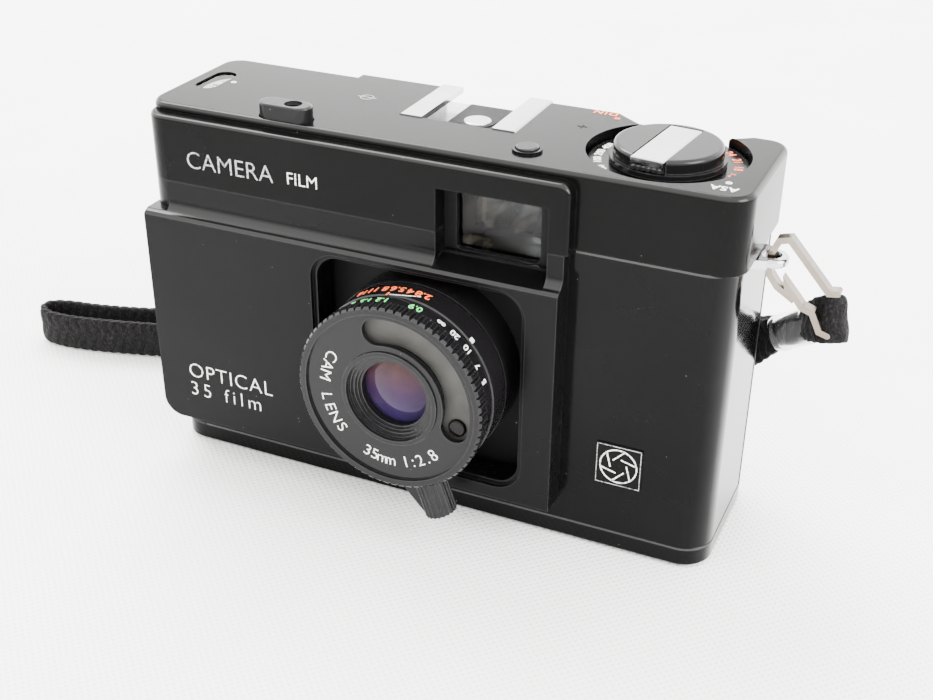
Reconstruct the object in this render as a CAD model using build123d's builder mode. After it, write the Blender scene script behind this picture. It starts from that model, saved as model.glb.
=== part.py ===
"""Compact 35 mm viewfinder camera with a braided wrist strap.

Millimetres, +Z up. The origin is the mouth of the tripod socket, in the middle of the base.
+X runs towards the rewind side and +Y towards the rear door, so the lens looks along -Y.
"""
import os
from math import cos, radians, sin

from build123d import *

os.makedirs("parts", exist_ok=True)

# Body shell
HALF_WIDTH = 50.9
FRONT_Y = -13.0
DOOR_BACK_Y = 14.5
SEAM_Y = 9.4
BASE_TOP = 3.8
SHELL_TOP = 53.5
DECK_Z = 66.1
WALL = 1.0
DECK_WALL = 1.1
FRONT_RADIUS = 5.0
DOOR_RADIUS = 4.6
TOP_X = (-50.9, 51.7)
TOP_RADIUS = 4.0
DECK_BACK_RADIUS = 3.5
SEAM_BEVEL = 0.25
DECK_ROUND = 0.9
BASE_BEVEL = 0.8
BASE_SHEET = 1.2
GAP = 0.3
RUN = 0.05

# Raised strip of the top cover and the front panel below it
STRIP_Y = -15.5
STRIP_BACK_Y = -5.0
STRIP_X = (-50.2, 25.8)
STRIP_TOP = 64.8
STRIP_CORNER = 4.0
PANEL_Y = -17.7
PANEL_X = (-50.2, 25.25)
PANEL_Z = (7.9, 48.0)
COVE_TOP = 50.5
PANEL_CORNER = 3.5
BADGE_CENTRE = (35.4, 17.1)
BADGE_SIZE = (7.9, 7.8)
BADGE_THICKNESS = 0.25

# Back edge of the deck, which steps in at both ends and lies open behind the dial
DECK_MID_Y = 15.6
DECK_LEFT_Y = 13.7
DECK_RIGHT_Y = 13.8
DECK_NOTCH_Y = 12.0
DECK_MID_X = (-25.2, 23.0)
DECK_NOTCH_X = (27.6, 43.0)
DECK_RIGHT_X = 45.6

# Lens axis and its stations along Y, from the plate to the front rim
LENS_X = 1.0
LENS_Z = 28.6
WINDOW_CENTRE = (1.1, 28.5)
WINDOW_SIZE = (36.4, 35.0)
WINDOW_RADIUS = 4.0
PLATE_Y = (-9.7, -10.9)
FLANGE_Y = -17.1
TUBE_FRONT_Y = -24.2
APERTURE_Y = (-17.4, -22.1)
FOCUS_Y = (-22.4, -27.4)
GRIP_Y = -24.6
NAME_Y = (-25.9, -26.9)
CELL_FRONT_Y = -27.2
GLASS_Y = -24.9
FLANGE_R = 16.1
TUBE_R = 13.9
APERTURE_R = 16.0
RING_R = 15.8
GRIP_R = 16.2
NAME_R = 14.85
CELL_R = 8.4
BEZEL_R = 7.6
GLASS_R = 5.75
GRIP_TEETH = 72
SLOT_R = (9.4, 14.0)
SPINE_START = -14
SPINE_ARC = 115
EYE_ANGLE = -17
EYE_RADIUS = 11.7
EYE_R = 1.5
TAB_ANGLE = -70.5
TAB_Y = (-22.6, -24.5)
TAB_END_R = 22.9
TAB_KNOB_R = 2.5
TAB_KNOB_FOOT = 16.5
FILM_Y = 4.1
GATE = (36.0, 24.0)
PLATE_PIN_X = 14.0
PLATE_PIN_R = 1.5

# Shutter, with a blade on each side of the axis
SHUTTER_Y = (-13.5, -15.0)
SHUTTER_BORE_R = 5.4
HOUSING_R = 15.0
MIDDLE_LENS_R = 6.4
BLADE_PIVOT = 8.5
BLADE_DISC_R = 4.8
BLADE_Y = {"a": -14.5, "b": -14.0}
BLADE_THICKNESS = 0.2

# Viewfinder
FINDER_X = (3.8, 22.5)
FINDER_TOP = 60.8
FINDER_FLOOR = 49.6
FINDER_GLASS_CENTRE = (13.0, 54.5)
FINDER_GLASS_SIZE = (14.2, 9.6)
EYEPIECE_CENTRE = (13.0, 58.0)
EYEPIECE_SIZE = (8.4, 5.4)
FINDER_SHELL_Y = (-10.0, 8.8, 14.0)
OBJECTIVE_Y = -5.0
OBJECTIVE_SIZE = (13.7, 9.2)

# Deck furniture
SHOE_X = (-9.5, 11.1)
SHOE_Y = (-1.1, 15.5)
SHOE_FLOOR = 63.4
SHOE_TOP = 66.3
SHOE_SHEET = 0.95
SHOE_PLATE = 0.8
SHOE_CONTACT = (0.9, 7.2)
SHOE_CONTACT_R = 2.35
POCKET_WALL = 0.9
SHOE_GAP = (-5.4, 7.0)
REWIND = (35.4, 1.2)
DIAL_R = 12.3
DIAL_RECESS_R = 12.7
DIAL_FLOOR = 63.0
SHAFT_R = 2.0
SHAFT_HOLE_R = 2.3
DIAL_Z = (63.15, 64.5)
KNOB_Z = (64.8, 67.8)
KNOB_R = 8.5
KNOB_BASE_R = 9.05
CRANK_X = (-2.65, 2.65)
CRANK_TURN = -6
CRANK_SHEET = 0.6
CRANK_TOP = 2.95
CRANK_LIP = 1.3
GRIP_FOOT = 1.15
SKIRT = 0.9
RELEASE_CENTRE = (-25.2, -10.35)
RELEASE_SIZE = (9.4, 3.9)
RELEASE_Z = (63.0, 68.6)
CHECK_BUTTON = (15.6, -7.4)
COUNTER = (-41.0, 1.1)
COUNTER_WINDOW_X = (-48.2, -44.2)
COUNTER_WINDOW_Y = (-3.6, 5.9)

# Film transport
CHASSIS_BAYS = {
    "spool_bay": (-HALF_WIDTH, -17.3),
    "chassis": (-17.3, 20.0),
    "cassette_bay": (20.0, HALF_WIDTH),
}
CHAMBER_R = 12.5
CHAMBER_Z = (4.8, 52.6)
SPOOL_CHAMBER_R = 8.4
SPROCKET_CHAMBER_R = 7.7
SPOOL_R = 5.8
FLANGE_WIDTH = 1.0
SPOOL_Z = (5.5, 51.8)
DOORWAY_Y = 12.0
FILM_PATH_Z = (9.0, 48.2)
SPOOL = (-39.0, 5.2)
SPROCKET = (-25.0, -1.6)
SPROCKET_R = 5.9
SPROCKET_TEETH = 8
PERFORATION_OFFSET = 14.1
WHEEL_R = 9.7
WHEEL_Z = (56.0, 61.5)
WHEEL_TEETH = 60

# Base
BATTERY = (14.0, -3.0)
BATTERY_R = 5.8
BATTERY_Z = (5.0, 10.4)
CAP_R = 7.5
TRIPOD_R = 3.175
TRIPOD_DEPTH = 6.0
BUSH_R = 5.0
RELEASE_PIN_R = 1.8
SCREW_PLACES = ((-43.0, -7.0), (43.0, -8.0))
SCREW_HEAD_R = 1.7
SCREW_R = 0.8
SCREW_TOP = 7.0

# Door hinge
HINGE = (-50.1, 9.55)
HINGE_R = 1.15
HINGE_RELIEF_R = 1.55
HINGE_PIN_R = 0.5
HINGE_Z = (8.0, 16.0, 41.0, 49.0)
KNUCKLE_GAP = 0.3
DOOR_Z = (4.1, 53.2)

# Wrist strap
LUG = (53.3, -0.8, 52.6)
LUG_SLOT_Y = (LUG[1] - 2.6, LUG[1] + 2.6)
LUG_Z = (LUG[2] - 0.7, LUG[2] + 0.7)
LUG_R = 2.7
LUG_HOLE_R = 1.6
CLIP_WIRE = (1.0, 1.8)
# bent wire in the plane of the lug, from the curled end over the top and down to the foot
CLIP_ROUTE = (
    (63.9, 49.1),
    (62.6, 48.9),
    (55.9, 56.4),
    (54.3, 56.0),
    (53.3, 53.6),
    (53.3, 50.4),
    (54.8, 48.4),
    (56.7, 47.2),
    (56.4, 48.6),
    (57.9, 46.9),
    (58.9, 45.7),
    (60.6, 45.1),
    (62.0, 42.2),
    (63.3, 41.8),
)
FOLD_TOP = (63.6, 1.0, 43.6)
STRAP_WIDTH = 8.0
STRAP_THICKNESS = 2.0
FOLD_THICKNESS = 4.4
FOLD_TUCK = 2.2
FERRULE_SECTION = (5.6, 6.2)
FERRULE_TOP = (60.6, 6.6, 39.6)
FERRULE_END = (55.2, 11.0, 34.6)
STRAP_FLOOR_Z = 4.1
# heights along X as the strap climbs to the ferrule
STRAP_RISE = ((-110.0, STRAP_FLOOR_Z), (8.0, STRAP_FLOOR_Z), (27.0, 8.5), (44.8, 24.5), (56.2, 36.0))
STRAP_RISE_RADIUS = 30
# the loop seen from above, out along the near ply and back along the far one
STRAP_NEAR = (
    (53.9, 10.9),
    (44.8, 18.6),
    (27.0, 22.5),
    (8.0, 22.3),
    (-46.0, 18.6),
    (-84.0, 5.9),
    (-99.6, 4.2),
)
STRAP_FAR = (
    (-101.2, 10.2),
    (-84.0, 12.2),
    (-46.0, 27.0),
    (8.0, 30.5),
    (27.0, 28.5),
    (44.8, 21.4),
    (55.3, 12.4),
)
STRAP_RADII = (20, 60, 60, 60, 14, 2.6, 2.6, 14, 60, 60, 60, 20)


def middle(limits):
    return (limits[0] + limits[-1]) / 2


def length(limits):
    return abs(limits[-1] - limits[0])


def block(x, y, z, mode=Mode.ADD):
    """A box between two limits along each axis."""
    with Locations((middle(x), middle(y), middle(z))):
        Box(length(x), length(y), length(z), mode=mode)


def rod(place, z, radius, mode=Mode.ADD):
    """An upright cylinder between two heights."""
    with Locations((place[0], place[1], middle(z))):
        Cylinder(radius, length(z), mode=mode)


def plan(z, x, y, front_radius, back_radius=0):
    """A rectangle seen from above, with its front and back corners rounded."""
    with BuildSketch(Plane.XY.offset(z)) as outline:
        with Locations((middle(x), middle(y))):
            Rectangle(length(x), length(y))
        if front_radius:
            fillet(outline.vertices().group_by(Axis.Y)[0], front_radius)
        if back_radius:
            fillet(outline.vertices().group_by(Axis.Y)[-1], back_radius)
    return outline.sketch


def deck_outline(z, inset=0):
    """Plan of the top cover, whose back edge steps in at both ends."""
    corners = (
        (TOP_X[0], FRONT_Y),
        (TOP_X[1], FRONT_Y),
        (TOP_X[1], DECK_RIGHT_Y),
        (DECK_RIGHT_X, DECK_RIGHT_Y),
        (DECK_NOTCH_X[1], DECK_NOTCH_Y),
        (DECK_NOTCH_X[0], DECK_NOTCH_Y),
        (DECK_MID_X[1], DECK_MID_Y),
        (DECK_MID_X[0], DECK_MID_Y),
        (DECK_MID_X[0], DECK_LEFT_Y),
        (TOP_X[0], DECK_LEFT_Y),
    )
    with BuildSketch(Plane.XY.offset(z)) as outline:
        Polygon(*corners, align=None)
        fillet(outline.vertices().group_by(Axis.Y)[0], TOP_RADIUS)
        ends = outline.vertices().filter_by(lambda v: v.Y > SEAM_Y and abs(v.X) > HALF_WIDTH - 1)
        fillet(ends, DECK_BACK_RADIUS)
        if inset:
            offset(amount=-inset, kind=Kind.INTERSECTION)
    return outline.sketch


def lens_plane(y):
    """A plane across the lens axis that faces forwards, with its own x along +X and y along +Z."""
    return Plane(origin=(LENS_X, y, LENS_Z), x_dir=(1, 0, 0), z_dir=(0, -1, 0))


def front_plane(y):
    """The same, but measured from the origin instead of the lens axis."""
    return Plane(origin=(0, y, 0), x_dir=(1, 0, 0), z_dir=(0, -1, 0))


def lens_tube(y, outer, inner=0, mode=Mode.ADD):
    """A ring about the lens axis between two stations."""
    with BuildSketch(lens_plane(y[0])) as ring:
        Circle(outer)
        if inner:
            Circle(inner, mode=Mode.SUBTRACT)
    extrude(ring.sketch, amount=length(y), mode=mode)


def lens_window(y, growth=0, mode=Mode.SUBTRACT):
    """The rounded square that the lens stands in, cut between two stations."""
    with BuildSketch(front_plane(y[0])) as window:
        with Locations(WINDOW_CENTRE):
            RectangleRounded(
                WINDOW_SIZE[0] + 2 * growth,
                WINDOW_SIZE[1] + 2 * growth,
                WINDOW_RADIUS + growth,
            )
    extrude(window.sketch, amount=length(y), mode=mode)


def body_block(z):
    """The solid outside shape of the body, as far back as the door seam."""
    outline = plan(z[0], (-HALF_WIDTH, HALF_WIDTH), (FRONT_Y, SEAM_Y), FRONT_RADIUS)
    extrude(outline, amount=length(z))


# ---------------------------------------------------------------- shells

with BuildPart() as front_cover:
    body_block((BASE_TOP, SHELL_TOP))
    chamfer(front_cover.faces().sort_by(Axis.Z)[0].edges(), SEAM_BEVEL)
    chamfer(front_cover.faces().sort_by(Axis.Z)[-1].edges(), SEAM_BEVEL)
    inside = HALF_WIDTH - WALL
    cavity = plan(BASE_TOP, (-inside, inside), (FRONT_Y + WALL, SEAM_Y + WALL), FRONT_RADIUS - WALL)
    extrude(cavity, amount=SHELL_TOP - BASE_TOP, mode=Mode.SUBTRACT)
    lens_window((FRONT_Y + 2 * WALL, FRONT_Y - WALL))
    block(FINDER_X, (FRONT_Y - 1, FRONT_Y + WALL + 0.1), (FINDER_FLOOR, SHELL_TOP + 1), Mode.SUBTRACT)
    rod(HINGE, (HINGE_Z[1] - KNUCKLE_GAP, HINGE_Z[2] + KNUCKLE_GAP), HINGE_RELIEF_R, Mode.SUBTRACT)
    for knuckle in ((HINGE_Z[0], HINGE_Z[1] - KNUCKLE_GAP), HINGE_Z[2:]):
        rod(HINGE, knuckle, HINGE_R)
    rod(HINGE, (HINGE_Z[0] - 1, HINGE_Z[-1] + 1), HINGE_PIN_R, Mode.SUBTRACT)
    block((HALF_WIDTH - 2, HALF_WIDTH + 1), LUG_SLOT_Y, (LUG_Z[0], SHELL_TOP + 1), Mode.SUBTRACT)
front_cover.part.label = "front_cover"
export_step(front_cover.part, "parts/front_cover.step")

with BuildPart() as body_void:
    body_block((0, SHELL_TOP + 1))

# what is left outside the strip's rounded corner, above the panel
with BuildPart() as corner_relief:
    corner = (STRIP_X[0] + STRIP_CORNER, STRIP_Y + STRIP_CORNER)
    block((STRIP_X[0] - 1, corner[0]), (PANEL_Y - 1, corner[1]), (PANEL_Z[1] + 0.3, SHELL_TOP))
    rod(corner, (PANEL_Z[1], SHELL_TOP), STRIP_CORNER, Mode.SUBTRACT)

with BuildPart() as front_panel:
    with BuildSketch(Plane.YZ.offset(PANEL_X[0])):
        with BuildLine():
            Polyline(
                (STRIP_Y, SHELL_TOP),
                (-5.0, SHELL_TOP),
                (-5.0, PANEL_Z[0]),
                (PANEL_Y, PANEL_Z[0]),
                (PANEL_Y, PANEL_Z[1] - 0.5),
                (PANEL_Y + 0.5, PANEL_Z[1]),
            )
            TangentArc((PANEL_Y + 0.5, PANEL_Z[1]), (STRIP_Y, COVE_TOP), tangent=(1, 0.25))
            Line((STRIP_Y, COVE_TOP), (STRIP_Y, SHELL_TOP))
        make_face()
    extrude(amount=length(PANEL_X))
    with BuildSketch(front_plane(0)) as face:
        with Locations((middle(PANEL_X), middle((PANEL_Z[0], SHELL_TOP)))):
            Rectangle(length(PANEL_X), SHELL_TOP - PANEL_Z[0])
        fillet(face.vertices().group_by(Axis.Z)[0].sort_by(Axis.X)[0], PANEL_CORNER)
    extrude(amount=-PANEL_Y + 1, mode=Mode.INTERSECT)
    add(body_void.part, mode=Mode.SUBTRACT)
    add(corner_relief.part, mode=Mode.SUBTRACT)
    lens_window((FRONT_Y + 1, PANEL_Y - 1))
    lens_window((PANEL_Y + 0.8, PANEL_Y - 1), 0.8)
    with BuildSketch(Plane.YZ.offset(FINDER_X[0])):
        with BuildLine():
            Polyline(
                (PANEL_Y - 1, PANEL_Z[1] - 0.4),
                (PANEL_Y + 0.3, PANEL_Z[1] - 0.1),
                (FRONT_Y + 1, FINDER_FLOOR),
                (FRONT_Y + 1, SHELL_TOP + 1),
                (PANEL_Y - 1, SHELL_TOP + 1),
                close=True,
            )
        make_face()
    extrude(amount=length(FINDER_X), mode=Mode.SUBTRACT)
front_panel.part.label = "front_panel"
export_step(front_panel.part, "parts/front_panel.step")

with BuildPart() as strip:
    block(STRIP_X, (STRIP_Y, STRIP_BACK_Y), (SHELL_TOP, STRIP_TOP))
    fillet(strip.edges().filter_by(Axis.Y).group_by(Axis.Z)[-1].sort_by(Axis.X)[-1], 2)
    front_uprights = strip.edges().filter_by(Axis.Z).group_by(Axis.Y)[0]
    fillet(front_uprights.sort_by(Axis.X)[0], STRIP_CORNER)
    outer = strip.faces().sort_by(Axis.Y)[0].edges()
    fillet(outer.filter_by(lambda e: e.center().Z > SHELL_TOP + 1 and e.center().X > -40), 0.7)

with BuildPart() as top_cover:
    extrude(deck_outline(SHELL_TOP), amount=DECK_Z - SHELL_TOP)
    fillet(top_cover.faces().sort_by(Axis.Z)[-1].edges(), DECK_ROUND)
    chamfer(top_cover.faces().sort_by(Axis.Z)[0].edges(), SEAM_BEVEL)
    add(strip.part)
    extrude(deck_outline(SHELL_TOP, WALL), amount=DECK_Z - DECK_WALL - SHELL_TOP, mode=Mode.SUBTRACT)
    # floors under the dial and the accessory shoe
    rod(REWIND, (DIAL_FLOOR - 1.2, DECK_Z - DECK_WALL), DIAL_RECESS_R + POCKET_WALL)
    block(
        (SHOE_X[0] - POCKET_WALL, SHOE_X[1] + POCKET_WALL),
        (SHOE_Y[0] - POCKET_WALL, SHOE_Y[1] - 0.5),
        (SHOE_FLOOR - SHOE_PLATE - WALL, DECK_Z - DECK_WALL),
    )
    block((DECK_NOTCH_X[0] - 1, DECK_NOTCH_X[1]), (DECK_NOTCH_Y, 30), (SHELL_TOP, DECK_Z), Mode.SUBTRACT)
    rod(REWIND, (DIAL_FLOOR, DECK_Z + 1), DIAL_RECESS_R, Mode.SUBTRACT)
    rod(REWIND, (DIAL_FLOOR - 2, DECK_Z), SHAFT_HOLE_R, Mode.SUBTRACT)
    block(SHOE_X, (SHOE_Y[0], SHOE_Y[1] + 1), (SHOE_FLOOR - SHOE_PLATE, DECK_Z + 1), Mode.SUBTRACT)
    # finder recess through the front wall
    block(FINDER_X, (STRIP_Y - 1, FRONT_Y + WALL + 0.1), (SHELL_TOP - 1, FINDER_TOP), Mode.SUBTRACT)
    with BuildSketch(front_plane(DECK_MID_Y + 1)):
        with Locations(EYEPIECE_CENTRE):
            RectangleRounded(*EYEPIECE_SIZE, 1)
    extrude(amount=4, mode=Mode.SUBTRACT)
    # openings for the counter, the release, the check button and the winding wheel
    with BuildSketch(Plane.XY.offset(DECK_Z - 2)):
        with Locations((middle(COUNTER_WINDOW_X), middle(COUNTER_WINDOW_Y))):
            RectangleRounded(length(COUNTER_WINDOW_X), length(COUNTER_WINDOW_Y), 1.9)
    extrude(amount=3, mode=Mode.SUBTRACT)
    with BuildSketch(Plane.XY.offset(RELEASE_Z[0] - 2)):
        with Locations(RELEASE_CENTRE):
            SlotOverall(RELEASE_SIZE[0] + 0.4, RELEASE_SIZE[1] + 0.4)
    extrude(amount=DECK_Z - RELEASE_Z[0] + 3, mode=Mode.SUBTRACT)
    rod(CHECK_BUTTON, (DECK_Z, DECK_Z + 0.4), 2.4)
    rod(CHECK_BUTTON, (DECK_Z - 2, DECK_Z + 1), 1.95, Mode.SUBTRACT)
    rod(SPOOL, (WHEEL_Z[0] - GAP, WHEEL_Z[1] + GAP), WHEEL_R + GAP, Mode.SUBTRACT)
    rod(COUNTER, (63.0, DECK_Z - DECK_WALL), 0.8)
top_cover.part.label = "top_cover"
export_step(top_cover.part, "parts/top_cover.step")

with BuildPart() as bottom_cover:
    outline = plan(0, (-HALF_WIDTH, HALF_WIDTH), (FRONT_Y, DOOR_BACK_Y), FRONT_RADIUS, DOOR_RADIUS)
    extrude(outline, amount=BASE_TOP)
    chamfer(bottom_cover.faces().sort_by(Axis.Z)[0].edges(), BASE_BEVEL)
    chamfer(bottom_cover.faces().sort_by(Axis.Z)[-1].edges(), SEAM_BEVEL)
    cavity = plan(
        BASE_SHEET,
        (WALL - HALF_WIDTH, HALF_WIDTH - WALL),
        (FRONT_Y + WALL, DOOR_BACK_Y - WALL),
        FRONT_RADIUS - WALL,
        DOOR_RADIUS - WALL,
    )
    extrude(cavity, amount=BASE_TOP, mode=Mode.SUBTRACT)
    rod(BATTERY, (BASE_SHEET, BASE_TOP), CAP_R + 1)
    rod((0, 0), (-1, BASE_TOP + 1), BUSH_R, Mode.SUBTRACT)
    rod(BATTERY, (-1, BASE_TOP + 1), CAP_R + RUN, Mode.SUBTRACT)
    rod(SPROCKET, (-1, BASE_TOP + 1), RELEASE_PIN_R + RUN, Mode.SUBTRACT)
    for place in SCREW_PLACES:
        rod(place, (-1, BASE_SHEET), SCREW_HEAD_R, Mode.SUBTRACT)
bottom_cover.part.label = "bottom_cover"
export_step(bottom_cover.part, "parts/bottom_cover.step")

with BuildPart() as rear_door:
    outline = plan(DOOR_Z[0], (-HALF_WIDTH, HALF_WIDTH), (SEAM_Y + GAP, DOOR_BACK_Y), 0, DOOR_RADIUS)
    extrude(outline, amount=length(DOOR_Z))
    block(
        (WALL - HALF_WIDTH, HALF_WIDTH - WALL),
        (SEAM_Y, DOOR_BACK_Y - 0.8),
        (DOOR_Z[0] + WALL, DOOR_Z[1] - WALL),
        Mode.SUBTRACT,
    )
    rod(HINGE, (0, SHELL_TOP), HINGE_RELIEF_R, Mode.SUBTRACT)
    door_knuckle = (HINGE_Z[1], HINGE_Z[2] - KNUCKLE_GAP)
    rod(HINGE, door_knuckle, HINGE_R)
    block((HINGE[0] - 0.8, HINGE[0] + 0.8), (HINGE[1] + 0.3, HINGE[1] + 3), door_knuckle)
    rod(HINGE, (HINGE_Z[0] - 1, HINGE_Z[-1] + 1), HINGE_PIN_R + RUN, Mode.SUBTRACT)
    for side in (-PLATE_PIN_X, PLATE_PIN_X):
        with BuildSketch(lens_plane(DOOR_BACK_Y - 0.8)):
            with Locations((side, 0)):
                Circle(2.6)
                Circle(PLATE_PIN_R + RUN, mode=Mode.SUBTRACT)
        extrude(amount=5.2)
rear_door.part.label = "rear_door"
export_step(rear_door.part, "parts/rear_door.step")

with BuildPart() as door_hinge_pin:
    rod(HINGE, (HINGE_Z[0], HINGE_Z[-1]), HINGE_PIN_R)
door_hinge_pin.part.label = "door_hinge_pin"
export_step(door_hinge_pin.part, "parts/door_hinge_pin.step")

# ---------------------------------------------------------------- chassis and film transport

with BuildPart() as core:
    inner = HALF_WIDTH - WALL - 0.4
    outline = plan(BASE_TOP, (-inner, inner), (FRONT_Y + WALL, SEAM_Y - 0.4), FRONT_RADIUS - WALL)
    extrude(outline, amount=SHELL_TOP - BASE_TOP)
    # cassette, take-up and sprocket chambers, all open to the door
    for place, radius in ((REWIND, CHAMBER_R), (SPOOL, SPOOL_CHAMBER_R), (SPROCKET, SPROCKET_CHAMBER_R)):
        rod(place, CHAMBER_Z, radius, Mode.SUBTRACT)
        block((place[0] - radius, place[0] + radius), (place[1], DOORWAY_Y), CHAMBER_Z, Mode.SUBTRACT)
    # film plane and the light box in front of it
    block((SPROCKET[0], REWIND[0]), (FILM_Y, DOORWAY_Y), FILM_PATH_Z, Mode.SUBTRACT)
    with BuildSketch(lens_plane(FILM_Y)):
        RectangleRounded(*GATE, 0.6)
    with BuildSketch(lens_plane(PLATE_Y[0])):
        RectangleRounded(14, 12, 4)
    loft(mode=Mode.SUBTRACT)
    # lens seat
    lens_window((PLATE_Y[0], FRONT_Y), 2.2)
    # finder passage
    block((2.4, 22.6), (FRONT_Y, -9.2), (FINDER_FLOOR - 0.8, SHELL_TOP + 1), Mode.SUBTRACT)
    block((4.8, 21.2), (-10, 12), (FINDER_FLOOR - 0.3, SHELL_TOP + 1), Mode.SUBTRACT)
    # shaft bearings
    rod(REWIND, (50, SHELL_TOP + 1), SHAFT_R + RUN, Mode.SUBTRACT)
    rod(SPOOL, (BASE_TOP - 1, SHELL_TOP + 1), SHAFT_R + RUN, Mode.SUBTRACT)
    rod(SPROCKET, (BASE_TOP - 1, SHELL_TOP + 1), RELEASE_PIN_R + RUN, Mode.SUBTRACT)
    # sockets in the underside
    rod((0, 0), (BASE_TOP - 1, TRIPOD_DEPTH + 2), BUSH_R, Mode.SUBTRACT)
    rod(BATTERY, (BASE_TOP - 1, BATTERY_Z[1] + 0.2), BATTERY_R, Mode.SUBTRACT)
    rod(BATTERY, (BASE_TOP - 1, BASE_TOP + 0.7), CAP_R + GAP, Mode.SUBTRACT)
    for place in SCREW_PLACES:
        rod(place, (BASE_TOP - 1, SCREW_TOP), SCREW_R, Mode.SUBTRACT)
    rod(HINGE, (0, SHELL_TOP + 1), HINGE_RELIEF_R + 0.4, Mode.SUBTRACT)
    block((HALF_WIDTH - 2.4, HALF_WIDTH), LUG_SLOT_Y, (LUG_Z[0], SHELL_TOP + 1), Mode.SUBTRACT)

for name, limits in CHASSIS_BAYS.items():
    with BuildPart() as bay:
        add(core.part)
        block(limits, (FRONT_Y, DOOR_BACK_Y), (0, DECK_Z), Mode.INTERSECT)
    bay.part.label = name
    export_step(bay.part, f"parts/{name}.step")

with BuildPart() as pressure_plate:
    with BuildSketch(lens_plane(FILM_Y + 1.1)):
        RectangleRounded(44, 33, 2)
    extrude(amount=0.8)
    for side in (-PLATE_PIN_X, PLATE_PIN_X):
        with BuildSketch(lens_plane(FILM_Y + 6.5)):
            with Locations((side, 0)):
                Circle(PLATE_PIN_R)
        extrude(amount=5.4)
pressure_plate.part.label = "pressure_plate"
export_step(pressure_plate.part, "parts/pressure_plate.step")

with BuildPart() as pressure_spring:
    with BuildSketch(lens_plane(DOOR_BACK_Y - 6.0)):
        RectangleRounded(36, 7, 3)
        with Locations((-PLATE_PIN_X, 0), (PLATE_PIN_X, 0)):
            Circle(PLATE_PIN_R + 0.3, mode=Mode.SUBTRACT)
    extrude(amount=0.3)
pressure_spring.part.label = "pressure_spring"
export_step(pressure_spring.part, "parts/pressure_spring.step")

with BuildPart() as takeup_spool:
    rod(SPOOL, SPOOL_Z, SPOOL_R)
    for foot in (SPOOL_Z[0], SPOOL_Z[1] - FLANGE_WIDTH):
        rod(SPOOL, (foot, foot + FLANGE_WIDTH), SPOOL_R + 2)
    with Locations((SPOOL[0], SPOOL[1], LENS_Z)):
        with PolarLocations(SPOOL_R, 4):
            Box(2.4, 1.0, 34, mode=Mode.SUBTRACT)
    rod(SPOOL, (BASE_TOP + 0.1, WHEEL_Z[0]), SHAFT_R)
takeup_spool.part.label = "takeup_spool"
export_step(takeup_spool.part, "parts/takeup_spool.step")

with BuildPart() as advance_wheel:
    rod(SPOOL, WHEEL_Z, WHEEL_R)
    chamfer(advance_wheel.edges().filter_by(GeomType.CIRCLE), 0.4)
    with BuildSketch(Plane.XY.offset(WHEEL_Z[0])):
        with Locations(SPOOL):
            with PolarLocations(WHEEL_R + 0.1, WHEEL_TEETH):
                Rectangle(0.8, 0.4)
    extrude(amount=length(WHEEL_Z), mode=Mode.SUBTRACT)
advance_wheel.part.label = "advance_wheel"
export_step(advance_wheel.part, "parts/advance_wheel.step")

with BuildPart() as sprocket:
    rod(SPROCKET, (CHAMBER_Z[0] + 0.3, CHAMBER_Z[1] - 0.3), 4.4)
    for row in (-PERFORATION_OFFSET, PERFORATION_OFFSET):
        rod(SPROCKET, (LENS_Z + row - 2.4, LENS_Z + row + 2.4), SPROCKET_R)
        with Locations((SPROCKET[0], SPROCKET[1], LENS_Z + row)):
            with PolarLocations(SPROCKET_R + 0.4, SPROCKET_TEETH):
                Box(1.4, 1.5, 1.8)
    rod(SPROCKET, (BASE_TOP + 0.6, SHELL_TOP + 0.5), RELEASE_PIN_R)
sprocket.part.label = "sprocket"
export_step(sprocket.part, "parts/sprocket.step")

with BuildPart() as rewind_release_button:
    rod(SPROCKET, (0.3, BASE_TOP - 0.8), RELEASE_PIN_R)
rewind_release_button.part.label = "rewind_release_button"
export_step(rewind_release_button.part, "parts/rewind_release_button.step")

# ---------------------------------------------------------------- base furniture

with BuildPart() as tripod_bush:
    rod((0, 0), (0, TRIPOD_DEPTH + 2), BUSH_R)
    rod((0, 0), (-1, TRIPOD_DEPTH), TRIPOD_R, Mode.SUBTRACT)
tripod_bush.part.label = "tripod_bush"
export_step(tripod_bush.part, "parts/tripod_bush.step")

with BuildPart() as battery:
    rod(BATTERY, BATTERY_Z, BATTERY_R)
battery.part.label = "battery"
export_step(battery.part, "parts/battery.step")

with BuildPart() as battery_cap:
    rod(BATTERY, (0.1, BASE_TOP + 0.4), CAP_R)
    with Locations((BATTERY[0], BATTERY[1], 0.4)):
        Box(13, 1.6, 1.4, mode=Mode.SUBTRACT)
battery_cap.part.label = "battery_cap"
export_step(battery_cap.part, "parts/battery_cap.step")

for number, place in enumerate(SCREW_PLACES, start=1):
    with BuildPart() as base_screw:
        rod(place, (0.3, BASE_SHEET), SCREW_HEAD_R)
        rod(place, (BASE_SHEET, SCREW_TOP), SCREW_R)
        with Locations((*place, 0.4)):
            for turn in (0, 90):
                with Locations(Rotation(0, 0, turn)):
                    Box(2.0, 0.45, 0.9, mode=Mode.SUBTRACT)
    base_screw.part.label = f"base_screw_{number}"
    export_step(base_screw.part, f"parts/base_screw_{number}.step")

# ---------------------------------------------------------------- viewfinder

with BuildPart() as finder_frame:
    block((2.6, 22.4), (FRONT_Y + WALL, FRONT_Y + 2 * WALL), (FINDER_FLOOR - 0.6, FINDER_TOP + 0.7))
    with BuildSketch(front_plane(0)):
        with Locations(FINDER_GLASS_CENTRE):
            RectangleRounded(*FINDER_GLASS_SIZE, 0.6)
    extrude(amount=20, mode=Mode.SUBTRACT)
finder_frame.part.label = "finder_frame"
export_step(finder_frame.part, "parts/finder_frame.step")

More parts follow.
